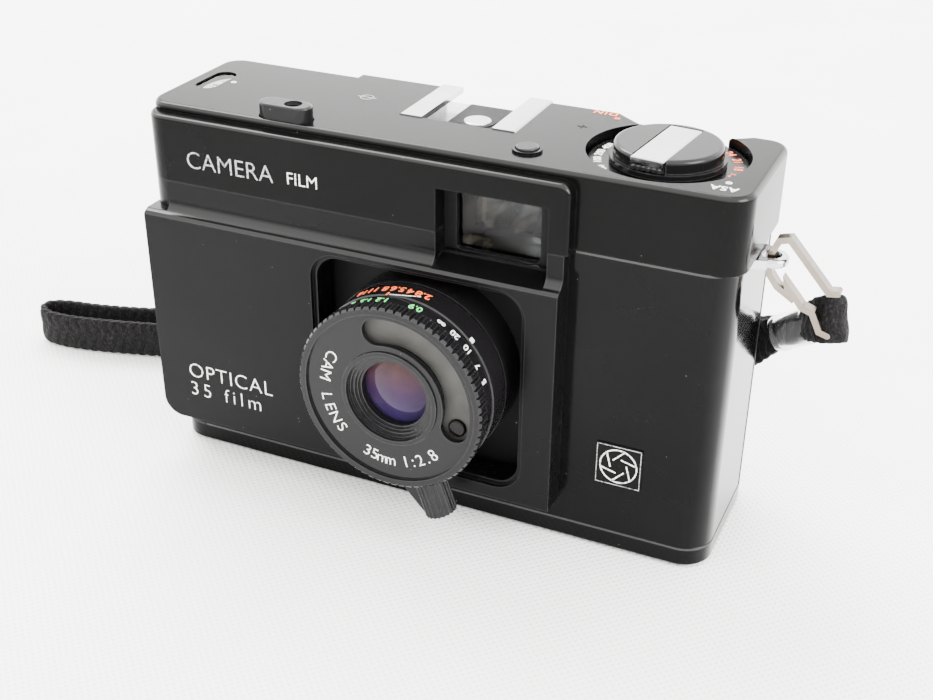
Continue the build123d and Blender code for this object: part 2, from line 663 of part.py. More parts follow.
with BuildPart() as finder_window:
    with BuildSketch(front_plane(FRONT_Y + 3 * WALL)):
        with Locations(FINDER_GLASS_CENTRE):
            RectangleRounded(FINDER_GLASS_SIZE[0] + 0.9, FINDER_GLASS_SIZE[1] + 0.7, 0.8)
    extrude(amount=WALL)
finder_window.part.label = "finder_window"
export_step(finder_window.part, "parts/finder_window.step")

with BuildPart() as finder_tube:
    block((5.0, 21.0), (FINDER_SHELL_Y[0], FINDER_SHELL_Y[1]), (49.4, 61.0))
    block((8.0, 18.0), (FINDER_SHELL_Y[1], FINDER_SHELL_Y[2]), (53.7, 61.4))
    with BuildSketch(front_plane(OBJECTIVE_Y + 3)):
        with Locations(FINDER_GLASS_CENTRE):
            Rectangle(*OBJECTIVE_SIZE)
    extrude(amount=10, mode=Mode.SUBTRACT)
    with BuildSketch(front_plane(OBJECTIVE_Y + 3)):
        with Locations(FINDER_GLASS_CENTRE):
            Rectangle(OBJECTIVE_SIZE[0] - 1.5, OBJECTIVE_SIZE[1] - 1.0)
    with BuildSketch(front_plane(FINDER_SHELL_Y[2])):
        with Locations(EYEPIECE_CENTRE):
            Rectangle(*EYEPIECE_SIZE)
    loft(mode=Mode.SUBTRACT)
finder_tube.part.label = "finder_tube"
export_step(finder_tube.part, "parts/finder_tube.step")

with BuildPart() as finder_objective:
    with BuildSketch(front_plane(OBJECTIVE_Y)):
        with Locations(FINDER_GLASS_CENTRE):
            Rectangle(*OBJECTIVE_SIZE)
    extrude(amount=1.6)
finder_objective.part.label = "finder_objective"
export_step(finder_objective.part, "parts/finder_objective.step")

with BuildPart() as finder_eyepiece:
    with BuildSketch(front_plane(DECK_MID_Y - 0.3)):
        with Locations(EYEPIECE_CENTRE):
            RectangleRounded(*EYEPIECE_SIZE, 1)
    extrude(amount=1.2)
finder_eyepiece.part.label = "finder_eyepiece"
export_step(finder_eyepiece.part, "parts/finder_eyepiece.step")

# ---------------------------------------------------------------- deck furniture

with BuildPart() as shoe_rails:
    block(SHOE_X, SHOE_Y, (SHOE_FLOOR - SHOE_PLATE, SHOE_TOP))
    fillet(shoe_rails.edges().filter_by(Axis.Y).group_by(Axis.Z)[-1], 0.5)
    slot = (SHOE_X[0] + SHOE_SHEET, SHOE_X[1] - SHOE_SHEET)
    block(slot, (SHOE_Y[0] - 1, SHOE_Y[1] + 1), (SHOE_FLOOR, SHOE_TOP - SHOE_SHEET), Mode.SUBTRACT)
    block(SHOE_GAP, (SHOE_Y[0] - 1, SHOE_Y[1] + 1), (SHOE_FLOOR, SHOE_TOP + 1), Mode.SUBTRACT)
shoe_rails.part.label = "shoe_rails"
export_step(shoe_rails.part, "parts/shoe_rails.step")

with BuildPart() as shoe_base:
    block((-3.6, 5.2), (SHOE_Y[0] + 0.2, SHOE_Y[1] - 0.6), (SHOE_FLOOR, SHOE_FLOOR + 0.35))
    rod(SHOE_CONTACT, (SHOE_FLOOR, SHOE_FLOOR + 0.5), SHOE_CONTACT_R + 0.85)
    rod(SHOE_CONTACT, (SHOE_FLOOR, SHOE_FLOOR + 1), SHOE_CONTACT_R, Mode.SUBTRACT)
shoe_base.part.label = "shoe_base"
export_step(shoe_base.part, "parts/shoe_base.step")

with BuildPart() as shoe_contact:
    rod(SHOE_CONTACT, (SHOE_FLOOR, SHOE_FLOOR + 0.65), SHOE_CONTACT_R)
    fillet(shoe_contact.edges().sort_by(Axis.Z)[-1], 0.25)
shoe_contact.part.label = "shoe_contact"
export_step(shoe_contact.part, "parts/shoe_contact.step")

with BuildPart() as counter_window:
    with BuildSketch(Plane.XY.offset(DECK_Z - DECK_WALL)):
        with Locations((middle(COUNTER_WINDOW_X), middle(COUNTER_WINDOW_Y))):
            RectangleRounded(length(COUNTER_WINDOW_X), length(COUNTER_WINDOW_Y), 1.9)
    extrude(amount=DECK_WALL - 0.3)
counter_window.part.label = "counter_window"
export_step(counter_window.part, "parts/counter_window.step")

with BuildPart() as counter_dial:
    rod(COUNTER, (63.9, 64.5), 7.2)
    rod(COUNTER, (63.0, 65.0), 0.85, Mode.SUBTRACT)
counter_dial.part.label = "counter_dial"
export_step(counter_dial.part, "parts/counter_dial.step")

with BuildPart() as release_button:
    with BuildSketch(Plane.XY.offset(RELEASE_Z[0])):
        with Locations(RELEASE_CENTRE):
            SlotOverall(*RELEASE_SIZE)
    extrude(amount=length(RELEASE_Z))
    fillet(release_button.faces().sort_by(Axis.Z)[-1].edges(), 0.5)
    cable_socket = (RELEASE_CENTRE[0] + 1.4, RELEASE_CENTRE[1])
    rod(cable_socket, (RELEASE_Z[1] - 0.4, RELEASE_Z[1] + 1), 1.5, Mode.SUBTRACT)
    rod(cable_socket, (RELEASE_Z[1] - 4, RELEASE_Z[1]), 1.0, Mode.SUBTRACT)
release_button.part.label = "release_button"
export_step(release_button.part, "parts/release_button.step")

with BuildPart() as release_spring:
    with BuildSketch(Plane.XY.offset(SHELL_TOP)):
        with Locations(RELEASE_CENTRE):
            Circle(1.3)
            Circle(1.0, mode=Mode.SUBTRACT)
    extrude(amount=RELEASE_Z[0] - SHELL_TOP)
    for level in range(8):
        with BuildSketch(Plane.XY.offset(SHELL_TOP + 0.9 + level)):
            with Locations(RELEASE_CENTRE):
                Circle(1.6)
                Circle(1.3, mode=Mode.SUBTRACT)
        extrude(amount=0.5)
release_spring.part.label = "release_spring"
export_step(release_spring.part, "parts/release_spring.step")

with BuildPart() as battery_check_button:
    rod(CHECK_BUTTON, (DECK_Z - DECK_WALL - 0.6, DECK_Z + 0.75), 1.8)
    rod(CHECK_BUTTON, (DECK_Z - DECK_WALL - 1.4, DECK_Z - DECK_WALL - 0.6), 2.6)
    fillet(battery_check_button.edges().sort_by(Axis.Z)[-1], 0.3)
battery_check_button.part.label = "battery_check_button"
export_step(battery_check_button.part, "parts/battery_check_button.step")

with BuildPart() as film_speed_dial:
    rod(REWIND, DIAL_Z, DIAL_R)
    with BuildSketch(Plane.XY.offset(DIAL_Z[0])):
        with Locations(REWIND):
            with PolarLocations(DIAL_R + 0.05, 90):
                Rectangle(0.6, 0.45)
    extrude(amount=length(DIAL_Z), mode=Mode.SUBTRACT)
    rod(REWIND, (DIAL_Z[0] - 1, DIAL_Z[1] + 1), SHAFT_HOLE_R, Mode.SUBTRACT)
film_speed_dial.part.label = "film_speed_dial"
export_step(film_speed_dial.part, "parts/film_speed_dial.step")

with BuildPart() as rewind_shaft:
    rod(REWIND, (47.5, KNOB_Z[0]), SHAFT_R)
    block((REWIND[0] - 3, REWIND[0] + 3), (REWIND[1] - 0.6, REWIND[1] + 0.6), (45.6, 48.0))
    block((REWIND[0] - 0.9, REWIND[0] + 0.9), (REWIND[1] - 1, REWIND[1] + 1), (45.0, 47.2), Mode.SUBTRACT)
rewind_shaft.part.label = "rewind_shaft"
export_step(rewind_shaft.part, "parts/rewind_shaft.step")

with BuildPart() as latch_collar:
    rod(REWIND, (55.0, 57.0), 4.5)
    block((REWIND[0], 47.0), (REWIND[1] - 2, REWIND[1] + 2), (55.0, 56.2))
    rod(REWIND, (54.0, 58.0), SHAFT_R + RUN, Mode.SUBTRACT)
latch_collar.part.label = "latch_collar"
export_step(latch_collar.part, "parts/latch_collar.step")

crank_x = (cos(radians(CRANK_TURN)), sin(radians(CRANK_TURN)), 0)
knob_plane = Plane(origin=(*REWIND, KNOB_Z[0]), x_dir=crank_x, z_dir=(0, 0, 1))


def knob_block(x, y, z, mode=Mode.ADD):
    """A box in the knob's own axes, whose y runs along the folded crank."""
    with BuildSketch(knob_plane.offset(z[0])) as footprint:
        with Locations((middle(x), middle(y))):
            Rectangle(length(x), length(y))
    extrude(footprint.sketch, amount=length(z), mode=mode)


with BuildPart() as rewind_knob:
    with BuildSketch(knob_plane):
        Circle(KNOB_BASE_R)
    extrude(amount=SKIRT)
    with BuildSketch(knob_plane.offset(SKIRT)):
        Circle(KNOB_R)
    extrude(amount=length(KNOB_Z) - SKIRT)
    fillet(rewind_knob.faces().sort_by(Axis.Z)[-1].edges(), 0.7)
    half = CRANK_X[1] + 0.15
    knob_block((-half, half), (-10, 7.2), (CRANK_TOP - CRANK_SHEET - 0.25, 4), Mode.SUBTRACT)
    knob_block((-half, half), (-10, -6.4), (SKIRT, 4), Mode.SUBTRACT)
rewind_knob.part.label = "rewind_knob"
export_step(rewind_knob.part, "parts/rewind_knob.step")

with BuildPart() as rewind_crank:
    knob_block(CRANK_X, (-8.6, 6.9), (CRANK_TOP - CRANK_SHEET, CRANK_TOP))
    knob_block(CRANK_X, (-8.6, -8.1), (CRANK_TOP - CRANK_LIP, CRANK_TOP))
    chamfer(rewind_crank.faces().sort_by(Axis.Z)[-1].edges(), 0.12)
rewind_crank.part.label = "rewind_crank"
export_step(rewind_crank.part, "parts/rewind_crank.step")

with BuildPart() as crank_grip:
    knob_block(CRANK_X, (-8.1, -6.7), (GRIP_FOOT, CRANK_TOP - CRANK_SHEET))
    knob_block(CRANK_X, (-8.6, -8.1), (GRIP_FOOT, CRANK_TOP - CRANK_LIP))
    for rib in range(6):
        at = (rib - 2.5) * 0.85
        knob_block((at - 0.22, at + 0.22), (-8.9, -8.6), (GRIP_FOOT, CRANK_TOP - CRANK_LIP))
crank_grip.part.label = "crank_grip"
export_step(crank_grip.part, "parts/crank_grip.step")

# ---------------------------------------------------------------- lens

with BuildPart() as lens_plate:
    lens_window(PLATE_Y, 1.8, Mode.ADD)
    lens_tube((PLATE_Y[0] + 1, PLATE_Y[1] - 1), 11.0, mode=Mode.SUBTRACT)
lens_plate.part.label = "lens_plate"
export_step(lens_plate.part, "parts/lens_plate.step")

with BuildPart() as lens_barrel:
    lens_tube((PLATE_Y[1], FLANGE_Y), FLANGE_R, HOUSING_R)
    lens_tube((FLANGE_Y + 1.2, FLANGE_Y), FLANGE_R, MIDDLE_LENS_R)
    lens_tube((FLANGE_Y, TUBE_FRONT_Y), TUBE_R, 12.6)
    lens_tube((FLANGE_Y, TUBE_FRONT_Y + 0.4), CELL_R + RUN + 0.8, CELL_R + RUN)
lens_barrel.part.label = "lens_barrel"
export_step(lens_barrel.part, "parts/lens_barrel.step")

with BuildPart() as shutter_housing:
    lens_tube((PLATE_Y[1], SHUTTER_Y[0]), HOUSING_R, SHUTTER_BORE_R)
    lens_tube((SHUTTER_Y[1], FLANGE_Y + 1.2), HOUSING_R, SHUTTER_BORE_R)
    lens_tube(SHUTTER_Y, HOUSING_R, HOUSING_R - 0.3)
    for side in (-BLADE_PIVOT, BLADE_PIVOT):
        with BuildSketch(lens_plane(SHUTTER_Y[0])):
            with Locations((side, 0)):
                Circle(0.6)
        extrude(amount=1.5)
shutter_housing.part.label = "shutter_housing"
export_step(shutter_housing.part, "parts/shutter_housing.step")

for letter, side in (("a", 1), ("b", -1)):
    with BuildPart() as shutter_blade:
        with BuildSketch(lens_plane(BLADE_Y[letter])):
            Circle(BLADE_DISC_R)
            with Locations((side * BLADE_PIVOT / 2, 0)):
                Rectangle(BLADE_PIVOT, 3.2)
            with Locations((side * BLADE_PIVOT, 0)):
                Circle(1.6)
                Circle(0.65, mode=Mode.SUBTRACT)
        extrude(amount=BLADE_THICKNESS)
    shutter_blade.part.label = f"shutter_blade_{letter}"
    export_step(shutter_blade.part, f"parts/shutter_blade_{letter}.step")

with BuildPart() as aperture_ring:
    lens_tube(APERTURE_Y, APERTURE_R, TUBE_R + RUN)
    chamfer(aperture_ring.edges().filter_by(GeomType.CIRCLE).sort_by(SortBy.RADIUS)[-2:], 0.2)
aperture_ring.part.label = "aperture_ring"
export_step(aperture_ring.part, "parts/aperture_ring.step")

with BuildPart() as focus_ring:
    lens_tube((FOCUS_Y[0], GRIP_Y), RING_R, TUBE_R + RUN)
    lens_tube((GRIP_Y, FOCUS_Y[1]), GRIP_R, TUBE_R + RUN)
    chamfer(focus_ring.edges().filter_by(GeomType.CIRCLE).group_by(SortBy.RADIUS)[-1], 0.3)
    lens_tube((NAME_Y[0], FOCUS_Y[1]), NAME_R, mode=Mode.SUBTRACT)
    with BuildSketch(lens_plane(GRIP_Y)):
        with PolarLocations(GRIP_R, GRIP_TEETH):
            RegularPolygon(0.55, 3, rotation=180)
    extrude(amount=length((GRIP_Y, FOCUS_Y[1])), mode=Mode.SUBTRACT)
focus_ring.part.label = "focus_ring"
export_step(focus_ring.part, "parts/focus_ring.step")

tab_way = Vector(cos(radians(TAB_ANGLE)), 0, sin(radians(TAB_ANGLE)))
tab_plane = Plane(origin=(LENS_X, TAB_Y[0], LENS_Z), x_dir=tab_way, z_dir=(0, -1, 0))
knob_foot = Vector(LENS_X, middle(TAB_Y), LENS_Z) + tab_way * TAB_KNOB_FOOT

with BuildPart() as focus_tab:
    with BuildSketch(tab_plane):
        Polygon(
            (RING_R - 1, -5.2),
            (RING_R + 0.8, -5.2),
            (TAB_END_R, -TAB_KNOB_R),
            (TAB_END_R, TAB_KNOB_R),
            (RING_R - 1, TAB_KNOB_R),
            align=None,
        )
        Circle(RING_R, mode=Mode.SUBTRACT)
    extrude(amount=length(TAB_Y))
    with BuildSketch(Plane(origin=knob_foot, z_dir=tab_way)):
        Circle(TAB_KNOB_R)
        with PolarLocations(TAB_KNOB_R, 20):
            Circle(0.22)
    extrude(amount=TAB_END_R - TAB_KNOB_FOOT)
focus_tab.part.label = "focus_tab"
export_step(focus_tab.part, "parts/focus_tab.step")

with BuildPart() as name_ring:
    lens_tube(NAME_Y, NAME_R, CELL_R + RUN)
    with BuildSketch(lens_plane(NAME_Y[0])):
        with BuildLine():
            inner_arc = CenterArc((0, 0), SLOT_R[0], SPINE_START, SPINE_ARC)
            outer_arc = CenterArc((0, 0), SLOT_R[1], SPINE_START, SPINE_ARC)
            Line(inner_arc @ 0, outer_arc @ 0)
            Line(inner_arc @ 1, outer_arc @ 1)
        make_face()
        with PolarLocations(middle(SLOT_R), 2, SPINE_START, SPINE_ARC, endpoint=True):
            Circle(length(SLOT_R) / 2)
    extrude(amount=length(NAME_Y), mode=Mode.SUBTRACT)
name_ring.part.label = "name_ring"
export_step(name_ring.part, "parts/name_ring.step")

with BuildPart() as meter_window:
    lens_tube((TUBE_FRONT_Y, TUBE_FRONT_Y - 0.8), TUBE_R - 0.1, CELL_R + 0.5)
meter_window.part.label = "meter_window"
export_step(meter_window.part, "parts/meter_window.step")

with BuildPart() as cds_cell:
    with BuildSketch(lens_plane(TUBE_FRONT_Y - 0.8)):
        with PolarLocations(EYE_RADIUS, 1, start_angle=EYE_ANGLE):
            Circle(EYE_R)
    extrude(amount=0.7)
    fillet(cds_cell.edges().sort_by(Axis.Y)[0], 0.35)
cds_cell.part.label = "cds_cell"
export_step(cds_cell.part, "parts/cds_cell.step")

with BuildPart() as front_cell:
    lens_tube((GLASS_Y + 3.0, CELL_FRONT_Y), CELL_R, 5.0)
    for depth, radius in ((0.7, BEZEL_R), (1.1, 7.1), (1.5, 6.6), (1.9, 6.2), (2.3, GLASS_R)):
        lens_tube((CELL_FRONT_Y + depth, CELL_FRONT_Y - 1), radius, mode=Mode.SUBTRACT)
    lens_tube((GLASS_Y + 2.0, GLASS_Y - 1), GLASS_R, mode=Mode.SUBTRACT)
front_cell.part.label = "front_cell"
export_step(front_cell.part, "parts/front_cell.step")

with BuildPart() as front_lens:
    with BuildSketch(Plane(origin=(LENS_X, 0, LENS_Z), x_dir=(1, 0, 0), z_dir=(0, 0, 1))):
        with BuildLine():
            ThreePointArc((0, GLASS_Y), (3.0, GLASS_Y + 0.3), (GLASS_R, GLASS_Y + 1.1))
            Polyline((GLASS_R, GLASS_Y + 1.1), (GLASS_R, GLASS_Y + 2.0), (0, GLASS_Y + 2.0), (0, GLASS_Y))
        make_face()
    revolve(axis=Axis((LENS_X, 0, LENS_Z), (0, 1, 0)))
front_lens.part.label = "front_lens"
export_step(front_lens.part, "parts/front_lens.step")

with BuildPart() as middle_lens:
    lens_tube((FLANGE_Y + 0.9, FLANGE_Y - 0.4), MIDDLE_LENS_R)
    fillet(middle_lens.edges().sort_by(Axis.Y)[0], 0.35)
middle_lens.part.label = "middle_lens"
export_step(middle_lens.part, "parts/middle_lens.step")

with BuildPart() as rear_lens:
    lens_tube((PLATE_Y[1] + 0.4, PLATE_Y[1] - 2.0), SHUTTER_BORE_R)
    fillet(rear_lens.edges().sort_by(Axis.Y)[-1], 0.35)
rear_lens.part.label = "rear_lens"
export_step(rear_lens.part, "parts/rear_lens.step")

with BuildPart() as badge_plate:
    with BuildSketch(front_plane(FRONT_Y)):
        with Locations(BADGE_CENTRE):
            RectangleRounded(*BADGE_SIZE, 0.3)
    extrude(amount=BADGE_THICKNESS)
badge_plate.part.label = "badge_plate"
export_step(badge_plate.part, "parts/badge_plate.step")

# ---------------------------------------------------------------- wrist strap

with BuildPart() as strap_lug:
    block((HALF_WIDTH - 2, HALF_WIDTH), LUG_SLOT_Y, LUG_Z)
    with BuildSketch(Plane.XY.offset(LUG_Z[0])):
        with Locations((middle((HALF_WIDTH, LUG[0])), LUG[1])):
            Trapezoid(2 * LUG_R + 1.8, LUG[0] - HALF_WIDTH, 72, rotation=-90)
        with Locations(LUG[:2]):
            Circle(LUG_R)
    extrude(amount=length(LUG_Z))
    fillet(strap_lug.faces().sort_by(Axis.X)[-1].edges().filter_by(GeomType.CIRCLE), 0.5)
    rod(LUG[:2], (LUG_Z[0] - 1, LUG_Z[1] + 1), LUG_HOLE_R, Mode.SUBTRACT)
strap_lug.part.label = "strap_lug"
export_step(strap_lug.part, "parts/strap_lug.step")

with BuildPart() as strap_clip:
    with BuildSketch(front_plane(LUG[1] + CLIP_WIRE[1] / 2)):
        with BuildLine():
            Polyline(*CLIP_ROUTE)
        trace(line_width=CLIP_WIRE[0])
        with Locations(*CLIP_ROUTE):
            Circle(CLIP_WIRE[0] / 2)
    extrude(amount=CLIP_WIRE[1])
strap_clip.part.label = "strap_clip"
export_step(strap_clip.part, "parts/strap_clip.step")

ferrule_way = Vector(*FERRULE_END) - Vector(*FERRULE_TOP)


def strap_plane(origin, way):
    """A plane across the strap: its own x is the thickness, level, and its y leans with the strap."""
    level = Vector(way.Y, -way.X, 0).normalized()
    return Plane(origin=origin, x_dir=level, z_dir=way.normalized())


fold_way = Vector(*FERRULE_TOP) - Vector(*FOLD_TOP)
with BuildPart() as strap_fold:
    fold_start = Vector(*FOLD_TOP) - fold_way.normalized() * FOLD_TUCK
    with BuildSketch(strap_plane(fold_start, fold_way)):
        RectangleRounded(FOLD_THICKNESS, STRAP_WIDTH, 1.2)
    extrude(amount=fold_way.length + FOLD_TUCK)
strap_fold.part.label = "strap_fold"
export_step(strap_fold.part, "parts/strap_fold.step")

with BuildPart() as strap_ferrule:
    with BuildSketch(strap_plane(FERRULE_TOP, ferrule_way)):
        RectangleRounded(*FERRULE_SECTION, 2.4)
    extrude(amount=ferrule_way.length)
strap_ferrule.part.label = "strap_ferrule"
export_step(strap_ferrule.part, "parts/strap_ferrule.step")

with BuildPart() as strap:
    with BuildSketch():
        with BuildLine():
            FilletPolyline(*STRAP_NEAR, *STRAP_FAR, radius=STRAP_RADII)
        trace(line_width=STRAP_THICKNESS)
    extrude(amount=FERRULE_TOP[2])
    with BuildSketch(front_plane(DECK_MID_Y * 3)):
        with BuildLine():
            FilletPolyline(*STRAP_RISE, radius=STRAP_RISE_RADIUS)
        trace(line_width=STRAP_WIDTH)
    extrude(amount=60, mode=Mode.INTERSECT)
    # the near end stops at the ferrule
    with BuildSketch(strap_plane(FERRULE_END, ferrule_way)):
        Rectangle(30, 30)
    extrude(amount=-30, mode=Mode.SUBTRACT)
strap.part.label = "strap"
export_step(strap.part, "parts/strap.step")
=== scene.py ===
"""Looks of the compact 35 mm camera and its wrist strap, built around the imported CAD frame."""

from math import cos, pi, radians, sin

import bpy
from mathutils import Matrix, Vector


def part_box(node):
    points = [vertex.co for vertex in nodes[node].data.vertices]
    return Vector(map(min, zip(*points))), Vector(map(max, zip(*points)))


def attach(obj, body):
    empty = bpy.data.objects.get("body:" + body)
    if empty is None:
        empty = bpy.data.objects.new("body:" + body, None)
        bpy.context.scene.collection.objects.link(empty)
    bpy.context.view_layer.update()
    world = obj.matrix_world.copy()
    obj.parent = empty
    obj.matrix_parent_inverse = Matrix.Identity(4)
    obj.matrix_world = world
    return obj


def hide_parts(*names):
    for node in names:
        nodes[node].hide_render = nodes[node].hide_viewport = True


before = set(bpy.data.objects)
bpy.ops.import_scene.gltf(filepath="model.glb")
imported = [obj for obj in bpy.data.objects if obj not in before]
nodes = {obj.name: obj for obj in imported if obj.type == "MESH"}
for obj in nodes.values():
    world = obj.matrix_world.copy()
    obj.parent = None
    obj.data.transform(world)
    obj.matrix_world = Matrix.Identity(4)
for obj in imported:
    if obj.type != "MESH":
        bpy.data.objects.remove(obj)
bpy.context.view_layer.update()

MM = 0.001
X_AXIS = Vector((1, 0, 0))
Y_AXIS = Vector((0, 1, 0))
Z_AXIS = Vector((0, 0, 1))

# ---------------------------------------------------------------- camera

VIEW_AZIMUTH = radians(23.89)
VIEW_ELEVATION = radians(29.16)
VIEW_ROLL = radians(0.54)
VIEW_POINT = Vector((0.0864, -0.1895, 0.1399))
FOCAL_LENGTH_MM = 52.08
SENSOR_WIDTH_MM = 36
NEAR_CLIP = 0.01


def add_camera():
    back = Vector((
        sin(VIEW_AZIMUTH) * cos(VIEW_ELEVATION),
        -cos(VIEW_AZIMUTH) * cos(VIEW_ELEVATION),
        sin(VIEW_ELEVATION),
    ))
    right = (-back).cross(Z_AXIS).normalized()
    up = back.cross(right)
    turned_right = cos(VIEW_ROLL) * right + sin(VIEW_ROLL) * up
    turned_up = cos(VIEW_ROLL) * up - sin(VIEW_ROLL) * right
    camera = bpy.data.objects.new("camera", bpy.data.cameras.new("camera"))
    camera.data.lens = FOCAL_LENGTH_MM
    camera.data.sensor_width = SENSOR_WIDTH_MM
    camera.data.clip_start = NEAR_CLIP
    axes = Matrix((turned_right, turned_up, back)).transposed()
    camera.matrix_world = Matrix.Translation(VIEW_POINT) @ axes.to_4x4()
    bpy.context.scene.collection.objects.link(camera)
    bpy.context.scene.camera = camera


add_camera()

# ---------------------------------------------------------------- shader helpers

# A mix node has several sockets of each name, so the colour ones are found by number.
MIX_FIRST = 6
MIX_SECOND = 7
MIX_RESULT = 2
# The cosine between the true and the rounded normal where a corner starts to show, and shows fully.
CORNER_STARTS = 0.99
CORNER_FULL = 0.9
# Only cells whose random shade is above this hold a fleck.
FLECK_THRESHOLD = 0.8


class Shader:
    """A new node material: its principled shader, and short calls for the nodes around it."""

    def __init__(self, name):
        self.material = bpy.data.materials.new(name)
        self.material.use_nodes = True
        self.tree = self.material.node_tree
        self.surface = self.tree.nodes["Principled BSDF"]
        self.where = self.node("ShaderNodeTexCoord").outputs["Object"]

    def node(self, kind, **settings):
        made = self.tree.nodes.new(kind)
        for key, value in settings.items():
            setattr(made, key, value)
        return made

    def link(self, source, target):
        self.tree.links.new(source, target)

    def set(self, **values):
        """Constants on the principled shader's sockets, with _ for a space."""
        for key, value in values.items():
            self.surface.inputs[key.replace("_", " ")].default_value = value

    def scaled(self, scale):
        mapping = self.node("ShaderNodeMapping")
        mapping.inputs["Scale"].default_value = scale
        self.link(self.where, mapping.inputs["Vector"])
        return mapping.outputs["Vector"]

    def noise(self, scale, detail=3.0, stretch=(1, 1, 1)):
        texture = self.node("ShaderNodeTexNoise")
        texture.inputs["Scale"].default_value = scale
        texture.inputs["Detail"].default_value = detail
        self.link(self.scaled(stretch), texture.inputs["Vector"])
        return texture.outputs["Fac"]

    def ramp(self, factor, *stops):
        """A colour ramp; each stop is a position and a grey level or a colour."""
        ramp = self.node("ShaderNodeValToRGB")
        while len(ramp.color_ramp.elements) < len(stops):
            ramp.color_ramp.elements.new(1.0)
        for element, (position, tone) in zip(ramp.color_ramp.elements, stops):
            element.position = position
            element.color = (tone, tone, tone, 1) if isinstance(tone, (int, float)) else (*tone, 1)
        self.link(factor, ramp.inputs["Fac"])
        return ramp.outputs["Color"]

    def mix(self, factor, first, second):
        """The first colour where the factor is 0 and the second where it is 1."""
        mix = self.node("ShaderNodeMix", data_type="RGBA")
        sockets = (mix.inputs["Factor"], mix.inputs[MIX_FIRST], mix.inputs[MIX_SECOND])
        for socket, value in zip(sockets, (factor, first, second)):
            if isinstance(value, bpy.types.NodeSocket):
                self.link(value, socket)
            elif isinstance(value, (int, float)):
                socket.default_value = value
            else:
                socket.default_value = (*value, 1)
        return mix.outputs[MIX_RESULT]

    def maths(self, operation, first, second=0.0):
        step = self.node("ShaderNodeMath", operation=operation)
        for socket, value in zip(step.inputs, (first, second)):
            if isinstance(value, bpy.types.NodeSocket):
                self.link(value, socket)
            else:
                socket.default_value = value
        return step.outputs["Value"]

    def bump(self, height, distance, strength=1.0):
        bump = self.node("ShaderNodeBump")
        bump.inputs["Distance"].default_value = distance
        bump.inputs["Strength"].default_value = strength
        self.link(height, bump.inputs["Height"])
        self.link(bump.outputs["Normal"], self.surface.inputs["Normal"])

    def edges(self, reach, strength):
        """Strength along corners, to a distance of reach, and 0 on open faces."""
        rounded = self.node("ShaderNodeBevel")
        rounded.inputs["Radius"].default_value = reach
        facing = self.node("ShaderNodeVectorMath", operation="DOT_PRODUCT")
        self.link(rounded.outputs["Normal"], facing.inputs[0])
        self.link(self.node("ShaderNodeNewGeometry").outputs["Normal"], facing.inputs[1])
        return self.ramp(facing.outputs["Value"], (CORNER_FULL, strength), (CORNER_STARTS, 0.0))

    def specks(self, density, size):
        """Small scattered flecks: 1 inside a fleck and 0 elsewhere."""
        cells = self.node("ShaderNodeTexVoronoi")
        cells.inputs["Scale"].default_value = density
        self.link(self.scaled((1, 1, 1)), cells.inputs["Vector"])
        fleck = self.maths("LESS_THAN", cells.outputs["Distance"], size)
        chosen = self.node("ShaderNodeSeparateColor")
        self.link(cells.outputs["Color"], chosen.inputs["Color"])
        some = self.maths("GREATER_THAN", chosen.outputs["Red"], FLECK_THRESHOLD)
        return self.maths("MULTIPLY", fleck, some)


EDGE_GLEAM = 0.25
SCUFF_REACH = 0.00035
SCUFF_COLOUR = (0.22, 0.22, 0.23)
DUST_COLOUR = (0.5, 0.49, 0.47)
DUST_STRENGTH = 0.4


def lacquer(
    name, tone, roughness, *, wear, coat, level, dust=0.035, texture=0.000004, front=0.1,
):
    """Black paint with soft colour and gloss changes, dust flecks and slightly bright edges.

    Faces that look forward are duller, as handled paint is: front is their specular level,
    level is that of the top and sides, and the rounded edges between top and front gleam.
    """
    shader = Shader(name)
    clouds = shader.noise(60, 4)
    colour = shader.ramp(clouds, (0.3, [c * 0.8 for c in tone]), (0.7, [c * 1.25 for c in tone]))
    scuffs = shader.maths("MULTIPLY", shader.edges(SCUFF_REACH, wear), shader.noise(900, 2))
    colour = shader.mix(scuffs, colour, SCUFF_COLOUR)
    flecks = shader.maths("MULTIPLY", shader.specks(600, dust), DUST_STRENGTH)
    colour = shader.mix(flecks, colour, DUST_COLOUR)
    shader.link(colour, shader.surface.inputs["Base Color"])
    gloss = shader.ramp(shader.noise(35, 5), (0.3, roughness * 0.8), (0.75, roughness * 1.3))
    shader.link(gloss, shader.surface.inputs["Roughness"])
    shader.bump(shader.noise(2200, 2), texture)
    way = shader.node("ShaderNodeSeparateXYZ")
    shader.link(shader.node("ShaderNodeNewGeometry").outputs["Normal"], way.inputs["Vector"])
    forward = shader.maths("MULTIPLY", way.outputs["Y"], -1.0)
    flat = shader.ramp(forward, (0.15, level), (0.5, front))
    edge = shader.ramp(way.outputs["Z"], (0.25, 0.0), (0.5, 1.0), (0.85, 1.0), (0.97, 0.0))
    gleam = shader.mix(edge, flat, (EDGE_GLEAM,) * 3)
    shader.link(gleam, shader.surface.inputs["Specular IOR Level"])
    shader.link(shader.ramp(forward, (0.4, coat), (0.9, 0.0)), shader.surface.inputs["Coat Weight"])
    shader.set(Coat_Roughness=roughness * 0.5)
    return shader.material


MARK_DEPTH = 0.000006


def metal(name, tone, roughness, scale=900, stretch=(1, 1, 1), tarnish=0.7):
    """Plated or bare metal with fine working marks and uneven tarnish."""
    shader = Shader(name)
    marks = shader.noise(scale, 3, stretch)
    stain = shader.noise(140, 4)
    colour = shader.ramp(stain, (0.3, [c * tarnish for c in tone]), (0.6, tone))
    shader.link(colour, shader.surface.inputs["Base Color"])
    gloss = shader.ramp(marks, (0.3, roughness * 0.6), (0.7, roughness * 1.5))
    shader.link(gloss, shader.surface.inputs["Roughness"])
    shader.bump(marks, MARK_DEPTH)
    shader.set(Metallic=1.0)
    return shader.material


